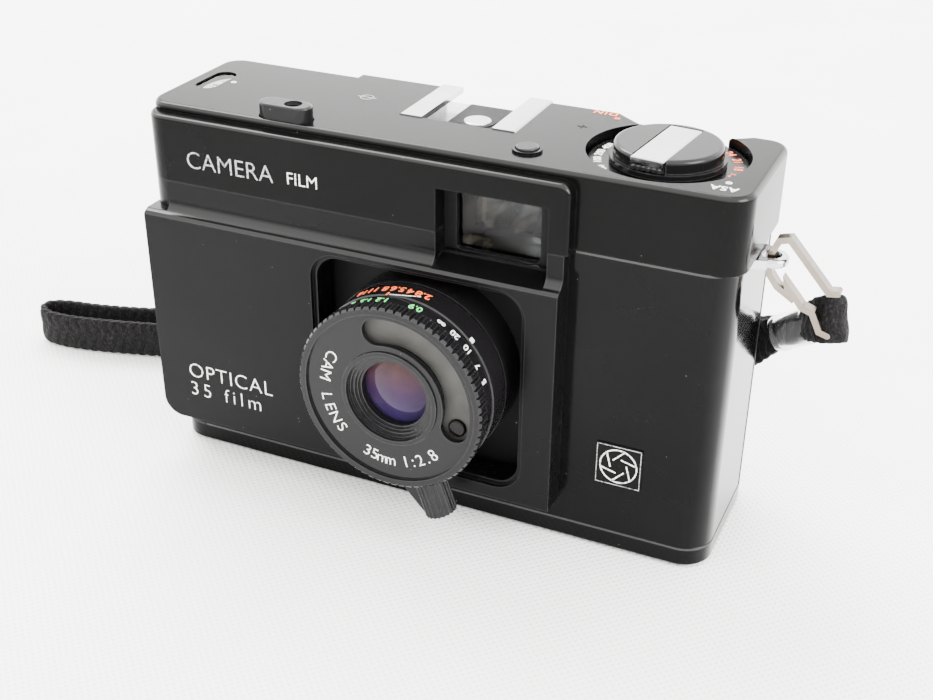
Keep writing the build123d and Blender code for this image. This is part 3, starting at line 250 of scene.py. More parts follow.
def ink(name, tone, wear=0.25):
    """Printed or filled lettering, a little worn."""
    shader = Shader(name)
    worn = shader.ramp(shader.noise(2600, 3), (0.36, [c * wear for c in tone]), (0.5, tone))
    shader.link(worn, shader.surface.inputs["Base Color"])
    shader.set(Roughness=0.55)
    return shader.material


# The first is the middle colour of the lens coating's painted reflection; the second is its random
# swirls.
MIDDLE_REFLECTION_TINT = (0.03, 0.012, 0.035)
SWIRL_TINT = (0.01, 0.008, 0.02)


def lens_coating(name, node, low_reflection_tint, high_reflection_tint):
    """Dark coated glass whose tint changes up its face, as a painted reflection."""
    shader = Shader(name)
    low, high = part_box(node)
    height = shader.node("ShaderNodeSeparateXYZ")
    shader.link(shader.where, height.inputs["Vector"])
    rise = shader.node("ShaderNodeMapRange")
    rise.inputs["From Min"].default_value = low.z
    rise.inputs["From Max"].default_value = high.z
    shader.link(height.outputs["Z"], rise.inputs["Value"])
    # Painted reflection: the colour runs from purple low on the glass to reddish-brown high up, and it
    # also tints the specular.
    stops = ((0.1, low_reflection_tint), (0.5, MIDDLE_REFLECTION_TINT), (0.9, high_reflection_tint))
    tint = shader.ramp(rise.outputs["Result"], *stops)
    swirl = shader.mix(shader.noise(300, 2), tint, SWIRL_TINT)
    shader.link(swirl, shader.surface.inputs["Base Color"])
    shader.link(tint, shader.surface.inputs["Specular Tint"])
    gloss = shader.ramp(shader.noise(200, 2), (0.3, 0.02), (0.8, 0.06))
    shader.link(gloss, shader.surface.inputs["Roughness"])
    shader.set(Coat_Weight=0.15, Coat_Roughness=0.02, Specular_IOR_Level=0.3)
    return shader.material


GLASS_ROUGHNESS = 0.01


def clear_glass(name, tone):
    """Thin clear panes, smeared a little."""
    shader = Shader(name)
    colour = shader.ramp(shader.noise(90, 2), (0.3, [c * 0.94 for c in tone]), (0.7, tone))
    shader.link(colour, shader.surface.inputs["Base Color"])
    gloss = shader.ramp(shader.noise(500, 3), (0.4, GLASS_ROUGHNESS), (0.9, GLASS_ROUGHNESS * 3))
    shader.link(gloss, shader.surface.inputs["Roughness"])
    shader.set(Transmission_Weight=1.0, IOR=1.15, Specular_IOR_Level=0.2)
    return shader.material


# ---------------------------------------------------------------- materials

SHELL = lacquer(
    "shell_lacquer", (0.0018, 0.0018, 0.0019), 0.13, wear=0.04, coat=0.15, level=0.2, front=0.06,
)
PANEL = lacquer(
    "panel_lacquer", (0.0016, 0.0016, 0.0018), 0.24, wear=0.1, coat=0.1, level=0.2, front=0.07,
)
DECK = lacquer(
    "deck_lacquer", (0.0018, 0.0018, 0.0018), 0.17, wear=0.06, coat=0.02, level=0.05, front=0.045,
)
PLASTIC = lacquer("black_plastic", (0.004, 0.004, 0.0042), 0.2, wear=0.2, coat=0.02, level=0.08)
MATT = lacquer(
    "matt_black", (0.002, 0.002, 0.0022), 0.6,
    dust=0.05, wear=0.1, texture=0.00002, coat=0.0, level=0.1,
)
ANODISED = lacquer(
    "black_anodised", (0.0045, 0.0042, 0.0046), 0.13,
    dust=0.03, wear=0.12, coat=0.05, level=0.12, front=0.15,
)
CHROME = metal("chrome", (0.50, 0.50, 0.51), 0.16, 500, (1, 0.05, 1), tarnish=0.85)
NICKEL = metal("worn_nickel", (0.20, 0.17, 0.14), 0.2, 800)
ALUMINIUM = metal("bright_aluminium", (0.80, 0.80, 0.81), 0.22, 600, (1, 1, 0.1))
STEEL = metal("steel", (0.52, 0.52, 0.53), 0.3)
BRASS = metal("brass", (0.62, 0.46, 0.22), 0.28)
BLACK_STEEL = metal("blackened_steel", (0.05, 0.05, 0.055), 0.4)
WHITE = ink("white_ink", (0.82, 0.82, 0.80))
ORANGE = ink("orange_ink", (0.85, 0.13, 0.03), 0.4)
GREEN = ink("green_ink", (0.10, 0.62, 0.16), 0.4)
GREY = ink("grey_ink", (0.34, 0.34, 0.35), 0.05)
PAPER = ink("dial_white", (0.80, 0.80, 0.77), 0.8)
# The low and high tints are the colours of a painted reflection, purple low and reddish-brown high.
FRONT_GLASS = lens_coating(
    "front_coating", "front_lens", low_reflection_tint=(0.016, 0.010, 0.045), high_reflection_tint=(0.075, 0.034, 0.020),
)
CLEAR = clear_glass("clear_glass", (0.93, 0.95, 0.96))


def diffuser():
    """Grey ribbed window in front of the meter."""
    shader = Shader("meter_diffuser")
    stops = ((0.3, (0.03, 0.03, 0.028)), (0.7, (0.055, 0.054, 0.05)))
    colour = shader.ramp(shader.noise(160, 4), *stops)
    shader.link(colour, shader.surface.inputs["Base Color"])
    shader.set(Roughness=0.5, Specular_IOR_Level=0.1)
    shader.bump(shader.noise(1800, 2), 0.00003)
    return shader.material


def light_cell():
    """Near-black face of the meter's light cell."""
    shader = Shader("light_cell")
    stops = ((0.35, (0.001, 0.001, 0.0012)), (0.7, (0.006, 0.004, 0.003)))
    colour = shader.ramp(shader.noise(900, 2), *stops)
    shader.link(colour, shader.surface.inputs["Base Color"])
    shader.set(Roughness=0.08, Specular_IOR_Level=0.12)
    return shader.material


def finder_inside():
    """Painted warm brown reflections in the finder's tunnel."""
    shader = Shader("finder_inside")
    colour = shader.ramp(
        shader.noise(230, 5, (1, 0.4, 1)),
        (0.38, (0.002, 0.0015, 0.001)),
        (0.52, (0.012, 0.009, 0.005)),
        # The brightest stop is a painted reflection on the tunnel wall.
        (0.66, (0.12, 0.10, 0.08)),
    )
    shader.link(colour, shader.surface.inputs["Base Color"])
    shader.set(Roughness=0.25, Specular_IOR_Level=0.15)
    shader.bump(shader.noise(300, 2), 0.00005)
    return shader.material


def braid():
    """Black yarn: fine fibres, soft sheen, a slight brown tinge."""
    shader = Shader("black_braid")
    fibres = shader.noise(2600, 4, (1, 1, 0.6))
    colour = shader.ramp(
        fibres,
        (0.3, (0.002, 0.002, 0.0022)),
        (0.55, (0.006, 0.0057, 0.006)),
        (0.8, (0.02, 0.018, 0.017)),
    )
    shader.link(colour, shader.surface.inputs["Base Color"])
    shader.bump(fibres, 0.0003)
    shader.set(Roughness=0.75, Sheen_Weight=0.04, Sheen_Roughness=0.4, Specular_IOR_Level=0.06)
    return shader.material


DOT_PITCH = 0.0014
DOT_DEPTH = 0.0002
# The grey that the pressed dots are darkened towards, as painted shade in their hollows.
PAINTED_DOT_SHADE = (0.62, 0.62, 0.62)


def cloth_floor():
    """White embossed non-woven cloth under and behind the camera, with painted shade in its pressed
    dots.
    """
    shader = Shader("white_cloth")
    place = shader.node("ShaderNodeSeparateXYZ")
    shader.link(shader.scaled((2 * pi / DOT_PITCH,) * 3), place.inputs["Vector"])
    along = shader.maths("SINE", shader.maths("ADD", place.outputs["X"], place.outputs["Z"]))
    back = shader.maths("SINE", shader.maths("ADD", place.outputs["Y"], place.outputs["Z"]))
    dots = shader.ramp(shader.maths("MULTIPLY", along, back), (0.25, 0.0), (0.8, 1.0))
    sheet = shader.ramp(shader.noise(25, 4), (0.3, 0.84), (0.7, 0.9))
    # Painted shade: the colour darkens in the pressed dots, where the bump sinks.
    colour = shader.mix(shader.maths("MULTIPLY", dots, 0.3), sheet, PAINTED_DOT_SHADE)
    shader.link(colour, shader.surface.inputs["Base Color"])
    shader.bump(shader.maths("SUBTRACT", 1.0, dots), DOT_DEPTH, 0.6)
    shader.set(Roughness=0.8)
    return shader.material


DIFFUSER = diffuser()
CELL = light_cell()
FINDER_INSIDE = finder_inside()
BRAID = braid()

FINISHES = {
    SHELL: ("front_cover", "bottom_cover", "rear_door", "badge_plate"),
    PANEL: ("front_panel",),
    DECK: ("top_cover",),
    PLASTIC: (
        "battery_cap", "rewind_release_button", "release_button", "battery_check_button",
        "rewind_knob", "advance_wheel", "crank_grip", "film_speed_dial",
    ),
    MATT: (
        "chassis", "spool_bay", "cassette_bay", "lens_plate", "finder_frame", "shoe_base",
        "takeup_spool", "shutter_housing", "pressure_plate",
    ),
    ANODISED: (
        "lens_barrel", "aperture_ring", "focus_ring", "focus_tab", "name_ring", "front_cell",
        "sprocket",
    ),
    CHROME: ("shoe_rails", "shoe_contact", "rewind_crank", "strap_lug"),
    NICKEL: ("strap_clip",),
    ALUMINIUM: ("strap_ferrule",),
    STEEL: (
        "door_hinge_pin", "pressure_spring", "release_spring", "rewind_shaft", "latch_collar",
        "base_screw_1", "base_screw_2", "battery",
    ),
    BRASS: ("tripod_bush",),
    BLACK_STEEL: ("shutter_blade_a", "shutter_blade_b"),
    CLEAR: ("finder_window", "finder_objective", "finder_eyepiece", "counter_window"),
    FRONT_GLASS: ("front_lens", "middle_lens", "rear_lens"),
    PAPER: ("counter_dial",),
    DIFFUSER: ("meter_window",),
    CELL: ("cds_cell",),
    FINDER_INSIDE: ("finder_tube",),
    BRAID: ("strap", "strap_fold"),
}

for finish, names in FINISHES.items():
    for name in names:
        nodes[name].data.materials.clear()
        nodes[name].data.materials.append(finish)

# ---------------------------------------------------------------- floor, backdrop and lights


def mesh_piece(name, points, faces, finish, smooth=True):
    mesh = bpy.data.meshes.new(name)
    mesh.from_pydata([tuple(p) for p in points], [], faces)
    mesh.update()
    mesh.materials.append(finish)
    mesh.polygons.foreach_set("use_smooth", [smooth] * len(mesh.polygons))
    made = bpy.data.objects.new(name, mesh)
    bpy.context.scene.collection.objects.link(made)
    return made


CLOTH_HALF_WIDTH = 1.2
CLOTH_FRONT_Y = -0.8
BEND_START_Y = 0.35
BEND_RADIUS = 0.5
BEND_STEPS = 15
RISE_ABOVE_BEND = 0.8


def add_floor():
    """A sheet of cloth that runs back flat and then curves up."""
    profile = [(CLOTH_FRONT_Y, 0.0), (BEND_START_Y, 0.0)]
    for i in range(1, BEND_STEPS + 1):
        turn = radians(90 / BEND_STEPS * i)
        rise = BEND_RADIUS - BEND_RADIUS * cos(turn)
        profile.append((BEND_START_Y + BEND_RADIUS * sin(turn), rise))
    profile.append((BEND_START_Y + BEND_RADIUS, BEND_RADIUS + RISE_ABOVE_BEND))
    points = [(x, y, z) for y, z in profile for x in (-CLOTH_HALF_WIDTH, CLOTH_HALF_WIDTH)]
    faces = [(2 * i, 2 * i + 1, 2 * i + 3, 2 * i + 2) for i in range(len(profile) - 1)]
    mesh_piece("cloth_floor", points, faces, cloth_floor())


def add_lamp(name, place, target, size, power):
    lamp = bpy.data.objects.new(name, bpy.data.lights.new(name, "AREA"))
    lamp.data.shape = "RECTANGLE"
    lamp.data.size = size[0]
    lamp.data.size_y = size[1]
    lamp.data.energy = power
    lamp.location = place
    lamp.rotation_euler = (Vector(place) - Vector(target)).to_track_quat("Z", "Y").to_euler()
    bpy.context.scene.collection.objects.link(lamp)


DAYLIGHT_COLOUR = (1.0, 0.99, 0.97, 1)
DAYLIGHT_STRENGTH = 5.6


def add_world():
    world = bpy.data.worlds.new("soft_daylight")
    world.use_nodes = True
    background = world.node_tree.nodes["Background"]
    background.inputs["Color"].default_value = DAYLIGHT_COLOUR
    background.inputs["Strength"].default_value = DAYLIGHT_STRENGTH
    bpy.context.scene.world = world


add_floor()
add_world()
add_lamp("window_light", place=(-0.5, 0.5, 0.9), target=(0, 0, 0), size=(0.9, 0.6), power=42)
add_lamp("fill_light", place=(0.9, -0.2, 0.6), target=(0, 0, 0.03), size=(0.6, 0.6), power=20)

# ---------------------------------------------------------------- wrist strap

# The middle of the braid in millimetres, from the ferrule to the far end of the loop and back.
STRAP_ROUTE = (
    (53.7, 11.3, 33.9),
    (44.8, 18.6, 24.5),
    (27.0, 22.5, 8.5),
    (8.0, 22.3, 4.1),
    (-46.0, 18.6, 4.1),
    (-84.0, 5.9, 4.1),
    (-98.4, 4.4, 4.1),
    (-99.8, 10.2, 4.1),
    (-84.0, 12.2, 4.1),
    (-46.0, 27.0, 4.1),
    (8.0, 30.5, 4.1),
    (27.0, 28.5, 8.5),
    (44.8, 21.4, 24.5),
    (54.6, 12.7, 33.9),
)
STRAP_WIDTH = 0.0079
STRAP_THICKNESS = 0.0019
LINE_STEP = 0.0003
# The plait: the length of a stitch, how far it slants and rises, and how round it is.
PLAIT_PITCH = 0.0021
PLAIT_SLANT = 1.3
PLAIT_DEPTH = 0.0004
STITCH_ROUND = 0.6
STITCH_EDGE = 0.55
# Both ends are gathered: END_WIDTH is a share of the full width, which is reached after GATHER.
END_WIDTH = 0.62
GATHER = 0.008
GATHER_CURVE = 0.6
# The band's section is a flat rounded bar; a lower power makes it squarer.
FLAT_POWER = 0.5
EDGE_POWER = 0.8
AROUND = 44
FERRULE_TOP = (60.6, 6.6, 39.6)
FERRULE_END = (54.3, 11.8, 33.8)
FERRULE_HALF = (0.0028, 0.0031)
FERRULE_POWER = 2.6
FERRULE_AROUND = 48
# Distance from a lip and share of the full size there: the rolled lip and then the crimp line.
FERRULE_LIP = ((0.0, 0.90), (0.0001, 0.98), (0.0004, 1.0), (0.0012, 1.0), (0.0015, 0.955), (0.0018, 1.0))
FOLD_TOP = (63.6, 1.0, 43.6)
FOLD_REACH = 0.0019
FOLD_BULGE = 1.15
FOLD_INSET = 0.0004
FOLD_THICKNESS = 0.0021
FOLD_TURNS = 12


def route_points(route):
    """Points along the smooth line through the strap's route, in metres."""
    curve = bpy.data.curves.new("strap_route", "CURVE")
    curve.dimensions = "3D"
    curve.resolution_u = 40
    spline = curve.splines.new("NURBS")
    spline.points.add(len(route) - 1)
    for point, place in zip(spline.points, route):
        point.co = (*(Vector(place) * MM), 1)
    spline.order_u = 3
    spline.use_endpoint_u = True
    line = bpy.data.objects.new("strap_route", curve)
    mesh = bpy.data.meshes.new_from_object(line)
    points = [v.co.copy() for v in mesh.vertices]
    bpy.data.objects.remove(line)
    bpy.data.curves.remove(curve)
    bpy.data.meshes.remove(mesh)
    return points


def spaced(points, step):
    """The same line with its points an even step apart."""
    marks = [points[0].copy()]
    left = step
    for a, b in zip(points, points[1:]):
        run = (b - a).length
        done = 0.0
        while run - done >= left:
            done += left
            marks.append(a.lerp(b, done / run))
            left = step
        left -= run - done
    return marks


def plait(along, across):
    """Height of a herringbone plait: two columns of slanting stitches on each face."""
    column = across * 4
    lane = column - int(column)
    slant = abs(lane - 0.5) * PLAIT_SLANT
    stitch = (along / PLAIT_PITCH + slant + 0.5 * int(column)) % 1.0
    return (sin(pi * stitch) ** STITCH_ROUND) * (STITCH_EDGE + (1 - STITCH_EDGE) * sin(pi * lane))


def signed_power(value, power):
    return abs(value) ** power * (1 if value > 0 else -1)


def tube_faces(n_rings, around):
    """Faces of a closed tube whose points run ring by ring: its wall, then its two ends."""
    faces = []
    for i in range(n_rings - 1):
        here = i * around
        there = here + around
        for k in range(around):
            n = (k + 1) % around
            faces.append((here + k, here + n, there + n, there + k))
    faces.append(tuple(reversed(range(around))))
    faces.append(tuple(range((n_rings - 1) * around, n_rings * around)))
    return faces


def braided_band(name, line, width, thickness, axis=Z_AXIS):
    """A flat braid that follows a line, with its plait in the mesh.

    Its width lies as near to axis as the line allows, and is gathered at both ends.
    """
    step = (line[1] - line[0]).length
    points = []
    for i, centre in enumerate(line):
        ahead = line[min(i + 1, len(line) - 1)] - line[max(i - 1, 0)]
        ahead.normalize()
        level = ahead.cross(axis).normalized()
        upright = level.cross(ahead).normalized()
        if upright.dot(axis) < 0:
            upright.negate()
        along = i * step
        from_end = min(along, (len(line) - 1 - i) * step)
        opened = min(from_end / GATHER, 1) ** GATHER_CURVE
        gathered = width * (END_WIDTH + (1 - END_WIDTH) * opened)
        for k in range(AROUND):
            turn = 2 * pi * k / AROUND
            c, s = cos(turn), sin(turn)
            out = Vector((
                thickness / 2 * signed_power(c, FLAT_POWER),
                gathered / 2 * signed_power(s, EDGE_POWER),
            ))
            swell = plait(along, k / AROUND) * PLAIT_DEPTH - PLAIT_DEPTH
            points.append(centre + level * (out.x + swell * c) + upright * (out.y + swell * s))
    return mesh_piece(name, points, tube_faces(len(line), AROUND), BRAID)


def add_ferrule():
    """A bright crimped tube, rolled at both lips, with a shallow crimp line near each."""
    top = Vector(FERRULE_TOP) * MM
    end = Vector(FERRULE_END) * MM
    way = (end - top).normalized()
    level = way.cross(Z_AXIS).normalized()
    upright = level.cross(way)
    length = (end - top).length
    profile = list(FERRULE_LIP) + [(length - at, swell) for at, swell in reversed(FERRULE_LIP)]
    points = []
    for at, swell in profile:
        for k in range(FERRULE_AROUND):
            turn = 2 * pi * k / FERRULE_AROUND
            c, s = cos(turn), sin(turn)
            corner = (abs(c) ** FERRULE_POWER + abs(s) ** FERRULE_POWER) ** (-1 / FERRULE_POWER)
            out = level * c * FERRULE_HALF[0] + upright * s * FERRULE_HALF[1]
            points.append(top + way * at + out * corner * swell)
    faces = tube_faces(len(profile), FERRULE_AROUND)
    ferrule = mesh_piece("crimped_ferrule", points, faces, ALUMINIUM)
    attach(ferrule, "wrist_strap")
    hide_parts("strap_ferrule")
    return ferrule


def add_fold():
    """The braid's end, turned over the foot of the clip and back into the ferrule."""
    foot = Vector(FERRULE_TOP) * MM
    head = Vector(FOLD_TOP) * MM
    way = (head - foot).normalized()
    level = way.cross(Z_AXIS).normalized()
    upright = level.cross(way)
    start = foot - way * FOLD_INSET
    turn = head - way * FOLD_REACH
    middle = start.lerp(turn, 0.5)
    bulge = FOLD_REACH * FOLD_BULGE
    line = [start + level * FOLD_REACH, middle + level * bulge]
    for i in range(FOLD_TURNS + 1):
        angle = pi * i / FOLD_TURNS
        line.append(turn + level * cos(angle) * FOLD_REACH + way * sin(angle) * bulge)
    line += [middle - level * bulge, start - level * FOLD_REACH]
    path = spaced(line, LINE_STEP)
    fold = braided_band("braided_fold", path, STRAP_WIDTH, FOLD_THICKNESS, upright)
    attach(fold, "wrist_strap")
    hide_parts("strap_fold")
    return fold


def add_strap(pieces):
    """The doubled braid, from the ferrule round the far end and back."""
    line = spaced(route_points(STRAP_ROUTE), LINE_STEP)
    strap = braided_band("braided_strap", line, STRAP_WIDTH, STRAP_THICKNESS)
    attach(strap, "wrist_strap")
    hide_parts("strap")


add_strap([add_ferrule(), add_fold()])

# ---------------------------------------------------------------- seams

SEAM_LIFT = 0.00004
SEAM_WIDTH = 0.0004
SHELL_CORNER_R = 0.005
CORNER_PARTS = 12
SHELL_LOW, SHELL_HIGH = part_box("front_cover")
DOOR_SEAM_Y = SHELL_HIGH.y - 0.0012
BASE_SEAM_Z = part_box("bottom_cover")[1].z
TOP_SEAM_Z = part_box("top_cover")[0].z
SEAM_BLACK = ink("seam_shadow", (0.0012, 0.0012, 0.0012), 0.8)


def add_seam(name, start_x, height):
    """The dark line where two shells meet: along the front, round the corner and to the door."""
    centre_x = SHELL_HIGH.x - SHELL_CORNER_R
    centre_y = SHELL_LOW.y + SHELL_CORNER_R
    reach = SHELL_CORNER_R + SEAM_LIFT
    path = [(start_x, SHELL_LOW.y - SEAM_LIFT)]
    for i in range(CORNER_PARTS + 1):
        turn = radians(90 / CORNER_PARTS * i - 90)
        path.append((centre_x + reach * cos(turn), centre_y + reach * sin(turn)))
    path.append((SHELL_HIGH.x + SEAM_LIFT, DOOR_SEAM_Y))
    edges = (height - SEAM_WIDTH / 2, height + SEAM_WIDTH / 2)
    points = [(x, y, z) for x, y in path for z in edges]
    faces = [(2 * i, 2 * i + 2, 2 * i + 3, 2 * i + 1) for i in range(len(path) - 1)]
    seam = mesh_piece(name, points, faces, SEAM_BLACK)
    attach(seam, "camera")


add_seam("base_seam", -0.045, BASE_SEAM_Z)
add_seam("top_seam", 0.0262, TOP_SEAM_Z)

# ---------------------------------------------------------------- lettering

ring_low, ring_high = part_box("name_ring")
LENS_AXIS = Vector(((ring_low.x + ring_high.x) / 2, 0, (ring_low.z + ring_high.z) / 2))
NAME_FRONT = ring_low.y
PANEL_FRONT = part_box("front_panel")[0].y
STRIP_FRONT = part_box("top_cover")[0].y
# The deck itself, which is lower than the top of its button collar.
DECK_TOP = 0.0661
# Prints stand this far from the faces they are on, and are as thick each way.
PRINT = 0.00003
CIRCLE_PARTS = 32
BOX_FACES = ((0, 1, 2, 3), (7, 6, 5, 4), (0, 4, 5, 1), (1, 5, 6, 2), (2, 6, 7, 3), (3, 7, 4, 0))


def printed(made, name, origin, right, up, body):
    """Places a flat mark with its own x along right and its own y along up."""
    right = Vector(right).normalized()
    up = Vector(up).normalized()
    axes = Matrix((right, up, right.cross(up))).transposed()
    made.matrix_world = Matrix.Translation(origin) @ axes.to_4x4()
    made.name = name
    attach(made, body)


def lettering(
    name, text, size, origin, right, up, finish, body, weight=0.0, align="CENTER", spread=1.0,
):
    """One piece of flat text, whose middle or left end is at origin."""
    curve = bpy.data.curves.new(name, "FONT")
    curve.body = text
    curve.size = size
    curve.offset = weight
    curve.align_x = align
    curve.align_y = "CENTER"
    curve.space_character = spread
    curve.extrude = PRINT
    curve.materials.append(finish)
    made = bpy.data.objects.new(name, curve)
    bpy.context.scene.collection.objects.link(made)
    printed(made, name, origin, right, up, body)


def strokes(name, lines, width, origin, right, up, finish, body):
    """Printed lines of one width; each line is a list of points on the mark's own plane."""
    points = []
    faces = []
    for line in lines:
        for start, end in zip(line, line[1:]):
            a = Vector((*start, 0))
            b = Vector((*end, 0))
            side = (b - a).cross(Z_AXIS).normalized() * width / 2
            first = len(points)
            for lift in (-PRINT, PRINT):
                points += [p + Z_AXIS * lift for p in (a - side, a + side, b + side, b - side)]
            faces += [tuple(first + i for i in face) for face in BOX_FACES]
    made = mesh_piece(name, points, faces, finish, smooth=False)
    printed(made, name, origin, right, up, body)


def circle_line(radius):
    turns = [radians(360 * i / CIRCLE_PARTS) for i in range(CIRCLE_PARTS + 1)]
    return [(radius * cos(t), radius * sin(t)) for t in turns]


def dot(name, radius, origin, right, up, finish, body):
    """A filled dot, as one broad ring with no hole."""
    strokes(name, [circle_line(radius / 2)], radius, origin, right, up, finish, body)


def around_face(prefix, text, radius, start, step, size, finish, body, y, weight=0.0):
    """Letters on a flat face round the lens axis, tops towards the axis, read anticlockwise."""
    for i, letter in enumerate(text):
        if letter == " ":
            continue
        turn = radians(start + i * step)
        outward = Vector((cos(turn), 0, sin(turn)))
        onward = Vector((-sin(turn), 0, cos(turn)))
        place = LENS_AXIS + outward * radius + Y_AXIS * y
        lettering(f"{prefix}_{i:02d}", letter, size, place, onward, -outward, finish, body, weight)


def around_barrel(prefix, labels, radius, y, size, finish, body):
    """Numbers on a ring's rim, read from behind the camera; labels are (text, angle) pairs."""
    for i, (text, angle) in enumerate(labels):
        turn = radians(angle)
        outward = Vector((cos(turn), 0, sin(turn)))
        onward = Vector((sin(turn), 0, -cos(turn)))
        place = LENS_AXIS + outward * (radius + PRINT) + Y_AXIS * y
        lettering(f"{prefix}_{i:02d}", text, size, place, -onward, -Y_AXIS, finish, body, 0.00003)


def around_dial(prefix, labels, radius, size, finish, height):
    """Numbers on the film speed dial, tops outward; labels are (text, angle) pairs."""
    low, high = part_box("film_speed_dial")
    centre = (low + high) / 2
    for i, (text, angle) in enumerate(labels):
        turn = radians(angle)
        outward = Vector((cos(turn), sin(turn), 0))
        place = Vector((centre.x, centre.y, height)) + outward * radius
        lettering(f"{prefix}_{i:02d}", text, size, place, outward.cross(Z_AXIS), outward, finish,
                  "speed_dial", 0.00004)


name_print = NAME_FRONT - PRINT
NAME_RADIUS = 0.0116
NAME_SIZE = 0.0029
NAME_WEIGHT = -0.00003
around_face(
    "name_word", "CAM LENS", NAME_RADIUS, 152, 9.8, NAME_SIZE, WHITE, "focus", name_print, NAME_WEIGHT,
)
around_face(
    "name_size", "35mm 1:2.8", NAME_RADIUS, 249, 7.0, NAME_SIZE, WHITE, "focus", name_print, NAME_WEIGHT,
)

APERTURES = [(t, 120 - 8.0 * i) for i, t in enumerate(("16", "11", "8", "5.6", "4", "2.8"))]
METRES = [("2", 120), ("1.5", 110), ("1.2", 99), ("0.9", 78)]
FEET = [("∞", 61), ("20", 51), ("10", 40), ("7", 29), ("5", 19)]
aperture_low, aperture_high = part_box("aperture_ring")
focus_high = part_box("focus_ring")[1]
ring_radius = (aperture_high.x - aperture_low.x) / 2
aperture_y = (aperture_low.y + aperture_high.y) / 2
# The distance scale lies behind the focus ring's knurl.
SCALE_RADIUS = 0.0158
scale_y = focus_high.y - 0.0012
around_barrel("aperture_number", APERTURES, ring_radius, aperture_y, 0.0022, ORANGE, "aperture")
around_barrel("metre_number", METRES, SCALE_RADIUS, scale_y, 0.0019, GREEN, "focus")
around_barrel("feet_number", FEET, SCALE_RADIUS, scale_y, 0.0017, WHITE, "focus")


def index_mark(name, angle, forward_by, line, width, finish):
    """A mark on the aperture ring's rim, drawn along the rim and towards the front."""
    turn = radians(angle)
    outward = Vector((cos(turn), 0, sin(turn)))
    onward = Vector((-sin(turn), 0, cos(turn)))
    place = LENS_AXIS + outward * (ring_radius + PRINT) + Y_AXIS * (aperture_low.y + forward_by)
    strokes(name, [line], width, place, onward, -Y_AXIS, finish, "camera")


index_mark("orange_index", 99, 0.0004, [(0, -0.0005), (0, 0.0005)], 0.0003, ORANGE)
index_mark("white_index", 97.5, 0.0002, [(-0.0055, 0), (0, 0)], 0.00012, WHITE)
index_mark("focus_index", 42, 0.0006, [(-0.0004, 0), (0.0004, 0)], 0.0009, WHITE)

# front markings
FRONT = (X_AXIS, Z_AXIS)
strip_print = STRIP_FRONT - PRINT
panel_print = PANEL_FRONT - PRINT
lettering(
    "top_word", "CAMERA", 0.0043, (-0.0420, strip_print, 0.0578), *FRONT, GREY, "camera",
    weight=-0.00006, align="LEFT",
)
lettering(
    "top_size", "FILM", 0.0030, (-0.0228, strip_print, 0.0578), *FRONT, WHITE, "camera",
    weight=-0.00003, align="LEFT",
)
lettering(
    "panel_word", "OPTICAL", 0.0041, (-0.0443, panel_print, 0.0182), *FRONT, WHITE, "camera",
    weight=-0.00007, align="LEFT", spread=1.08,
)
lettering(
    "panel_film", "35 film", 0.0040, (-0.0443, panel_print, 0.0144), *FRONT, WHITE, "camera",
    weight=-0.00007, align="LEFT", spread=1.35,
)

BADGE_RIM = 0.0031
BADGE_EYE = 0.0014
BLADES = 6
BLADE_START = 12
BLADE_SWEEP = 62
BADGE_HALF = (0.0037, 0.00365)


def add_badge():
    """A six-bladed iris on the square badge."""
    low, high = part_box("badge_plate")
    centre = (low + high) / 2
    blades = []
    for i in range(BLADES):
        turn = radians(360 / BLADES * i + BLADE_START)
        inner_turn = turn + radians(BLADE_SWEEP)
        edge = (BADGE_RIM * cos(turn), BADGE_RIM * sin(turn))
        inner = (BADGE_EYE * cos(inner_turn), BADGE_EYE * sin(inner_turn))
        blades.append([edge, inner])
    place = (centre.x, low.y - PRINT, centre.z)
    iris = [circle_line(BADGE_RIM)] + blades
    strokes("badge_iris", iris, 0.00022, place, X_AXIS, Z_AXIS, WHITE, "camera")
    x, z = BADGE_HALF
    square = [(-x, -z), (x, -z), (x, z), (-x, z), (-x, -z)]
    strokes("badge_frame", [square], 0.0001, place, X_AXIS, Z_AXIS, GREY, "camera")


add_badge()

# the rear door's edge down the right side
door_place = (SHELL_HIGH.x + SEAM_LIFT, DOOR_SEAM_Y, 0)
door_line = [(0, BASE_SEAM_Z), (0, TOP_SEAM_Z)]
strokes("door_seam", [door_line], SEAM_WIDTH, door_place, Y_AXIS, Z_AXIS, SEAM_BLACK, "camera")

# deck markings, which read from behind the camera
BACK = (-X_AXIS, -Y_AXIS)


def on_deck(x, y):
    return (x * MM, y * MM, DECK_TOP + PRINT)


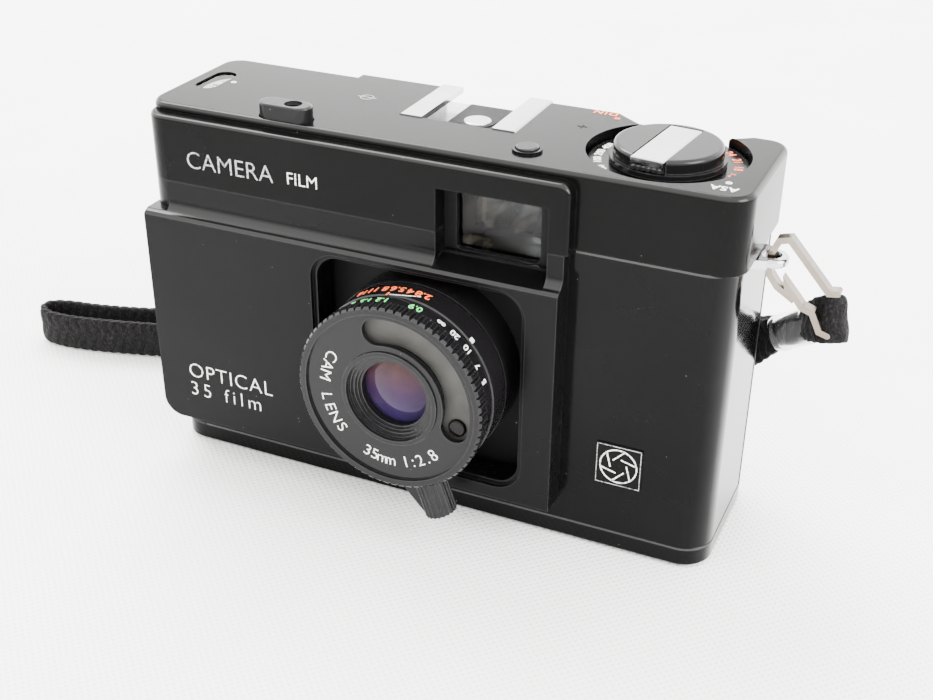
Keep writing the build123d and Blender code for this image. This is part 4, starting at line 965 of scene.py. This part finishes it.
DOT_RADIUS = 0.0005
lettering(
    "din_word", "DIN", 0.0022, on_deck(21.0, 13.9), *BACK, ORANGE, "camera",
    weight=0.00005, spread=1.15,
)
lettering(
    "asa_word", "ASA", 0.0022, on_deck(46.9, -9.6), *BACK, WHITE, "camera",
    weight=0.00003, spread=1.1,
)
dot("din_dot", DOT_RADIUS, on_deck(23.5, 12.1), *BACK, ORANGE, "camera")
dot("asa_dot", DOT_RADIUS, on_deck(47.0, -7.25), *BACK, WHITE, "camera")
dot("counter_dot", DOT_RADIUS, on_deck(-42.7, 1.3), *BACK, WHITE, "camera")
cross = [[(-0.0008, 0), (0.0008, 0)], [(0, -0.0008), (0, 0.0008)]]
strokes("plus_mark", cross, 0.00022, on_deck(19.6, 6.2), *BACK, MATT, "camera")
plane_mark = [circle_line(0.0011), [(-0.0017, 0), (0.0017, 0)]]
strokes("film_plane_mark", plane_mark, 0.00016, on_deck(-18.1, 4.1), *BACK, GREY, "camera")

dial_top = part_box("film_speed_dial")[1].z + PRINT
DIN_NUMBERS = [(t, 60 - 17 * i) for i, t in enumerate(("27", "24", "21", "18", "15"))]
ASA_NUMBERS = [(t, 235 - 17 * i) for i, t in enumerate(("25", "50", "100", "200", "400"))]
DIAL_NUMBER_RADIUS = 0.0107
around_dial("din_number", DIN_NUMBERS, DIAL_NUMBER_RADIUS, 0.0019, ORANGE, dial_top)
around_dial("asa_number", ASA_NUMBERS, DIAL_NUMBER_RADIUS, 0.0017, WHITE, dial_top)

# frame numbers under the counter window
FRAME_NUMBERS = 12
FRAMES_PER_NUMBER = 3
FRAME_NUMBER_RADIUS = 0.0055
FRAME_NUMBER_SIZE = 0.0021
counter_low, counter_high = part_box("counter_dial")
counter_middle = (counter_low + counter_high) / 2
counter_face = Vector((counter_middle.x, counter_middle.y, counter_high.z + PRINT))
for i in range(FRAME_NUMBERS):
    turn = radians(360 / FRAME_NUMBERS * i)
    outward = Vector((cos(turn), sin(turn), 0))
    place = counter_face + outward * FRAME_NUMBER_RADIUS
    lettering(
        f"frame_number_{i:02d}", str(FRAMES_PER_NUMBER * i), FRAME_NUMBER_SIZE, place,
        outward.cross(Z_AXIS), outward, MATT, "counter",
    )
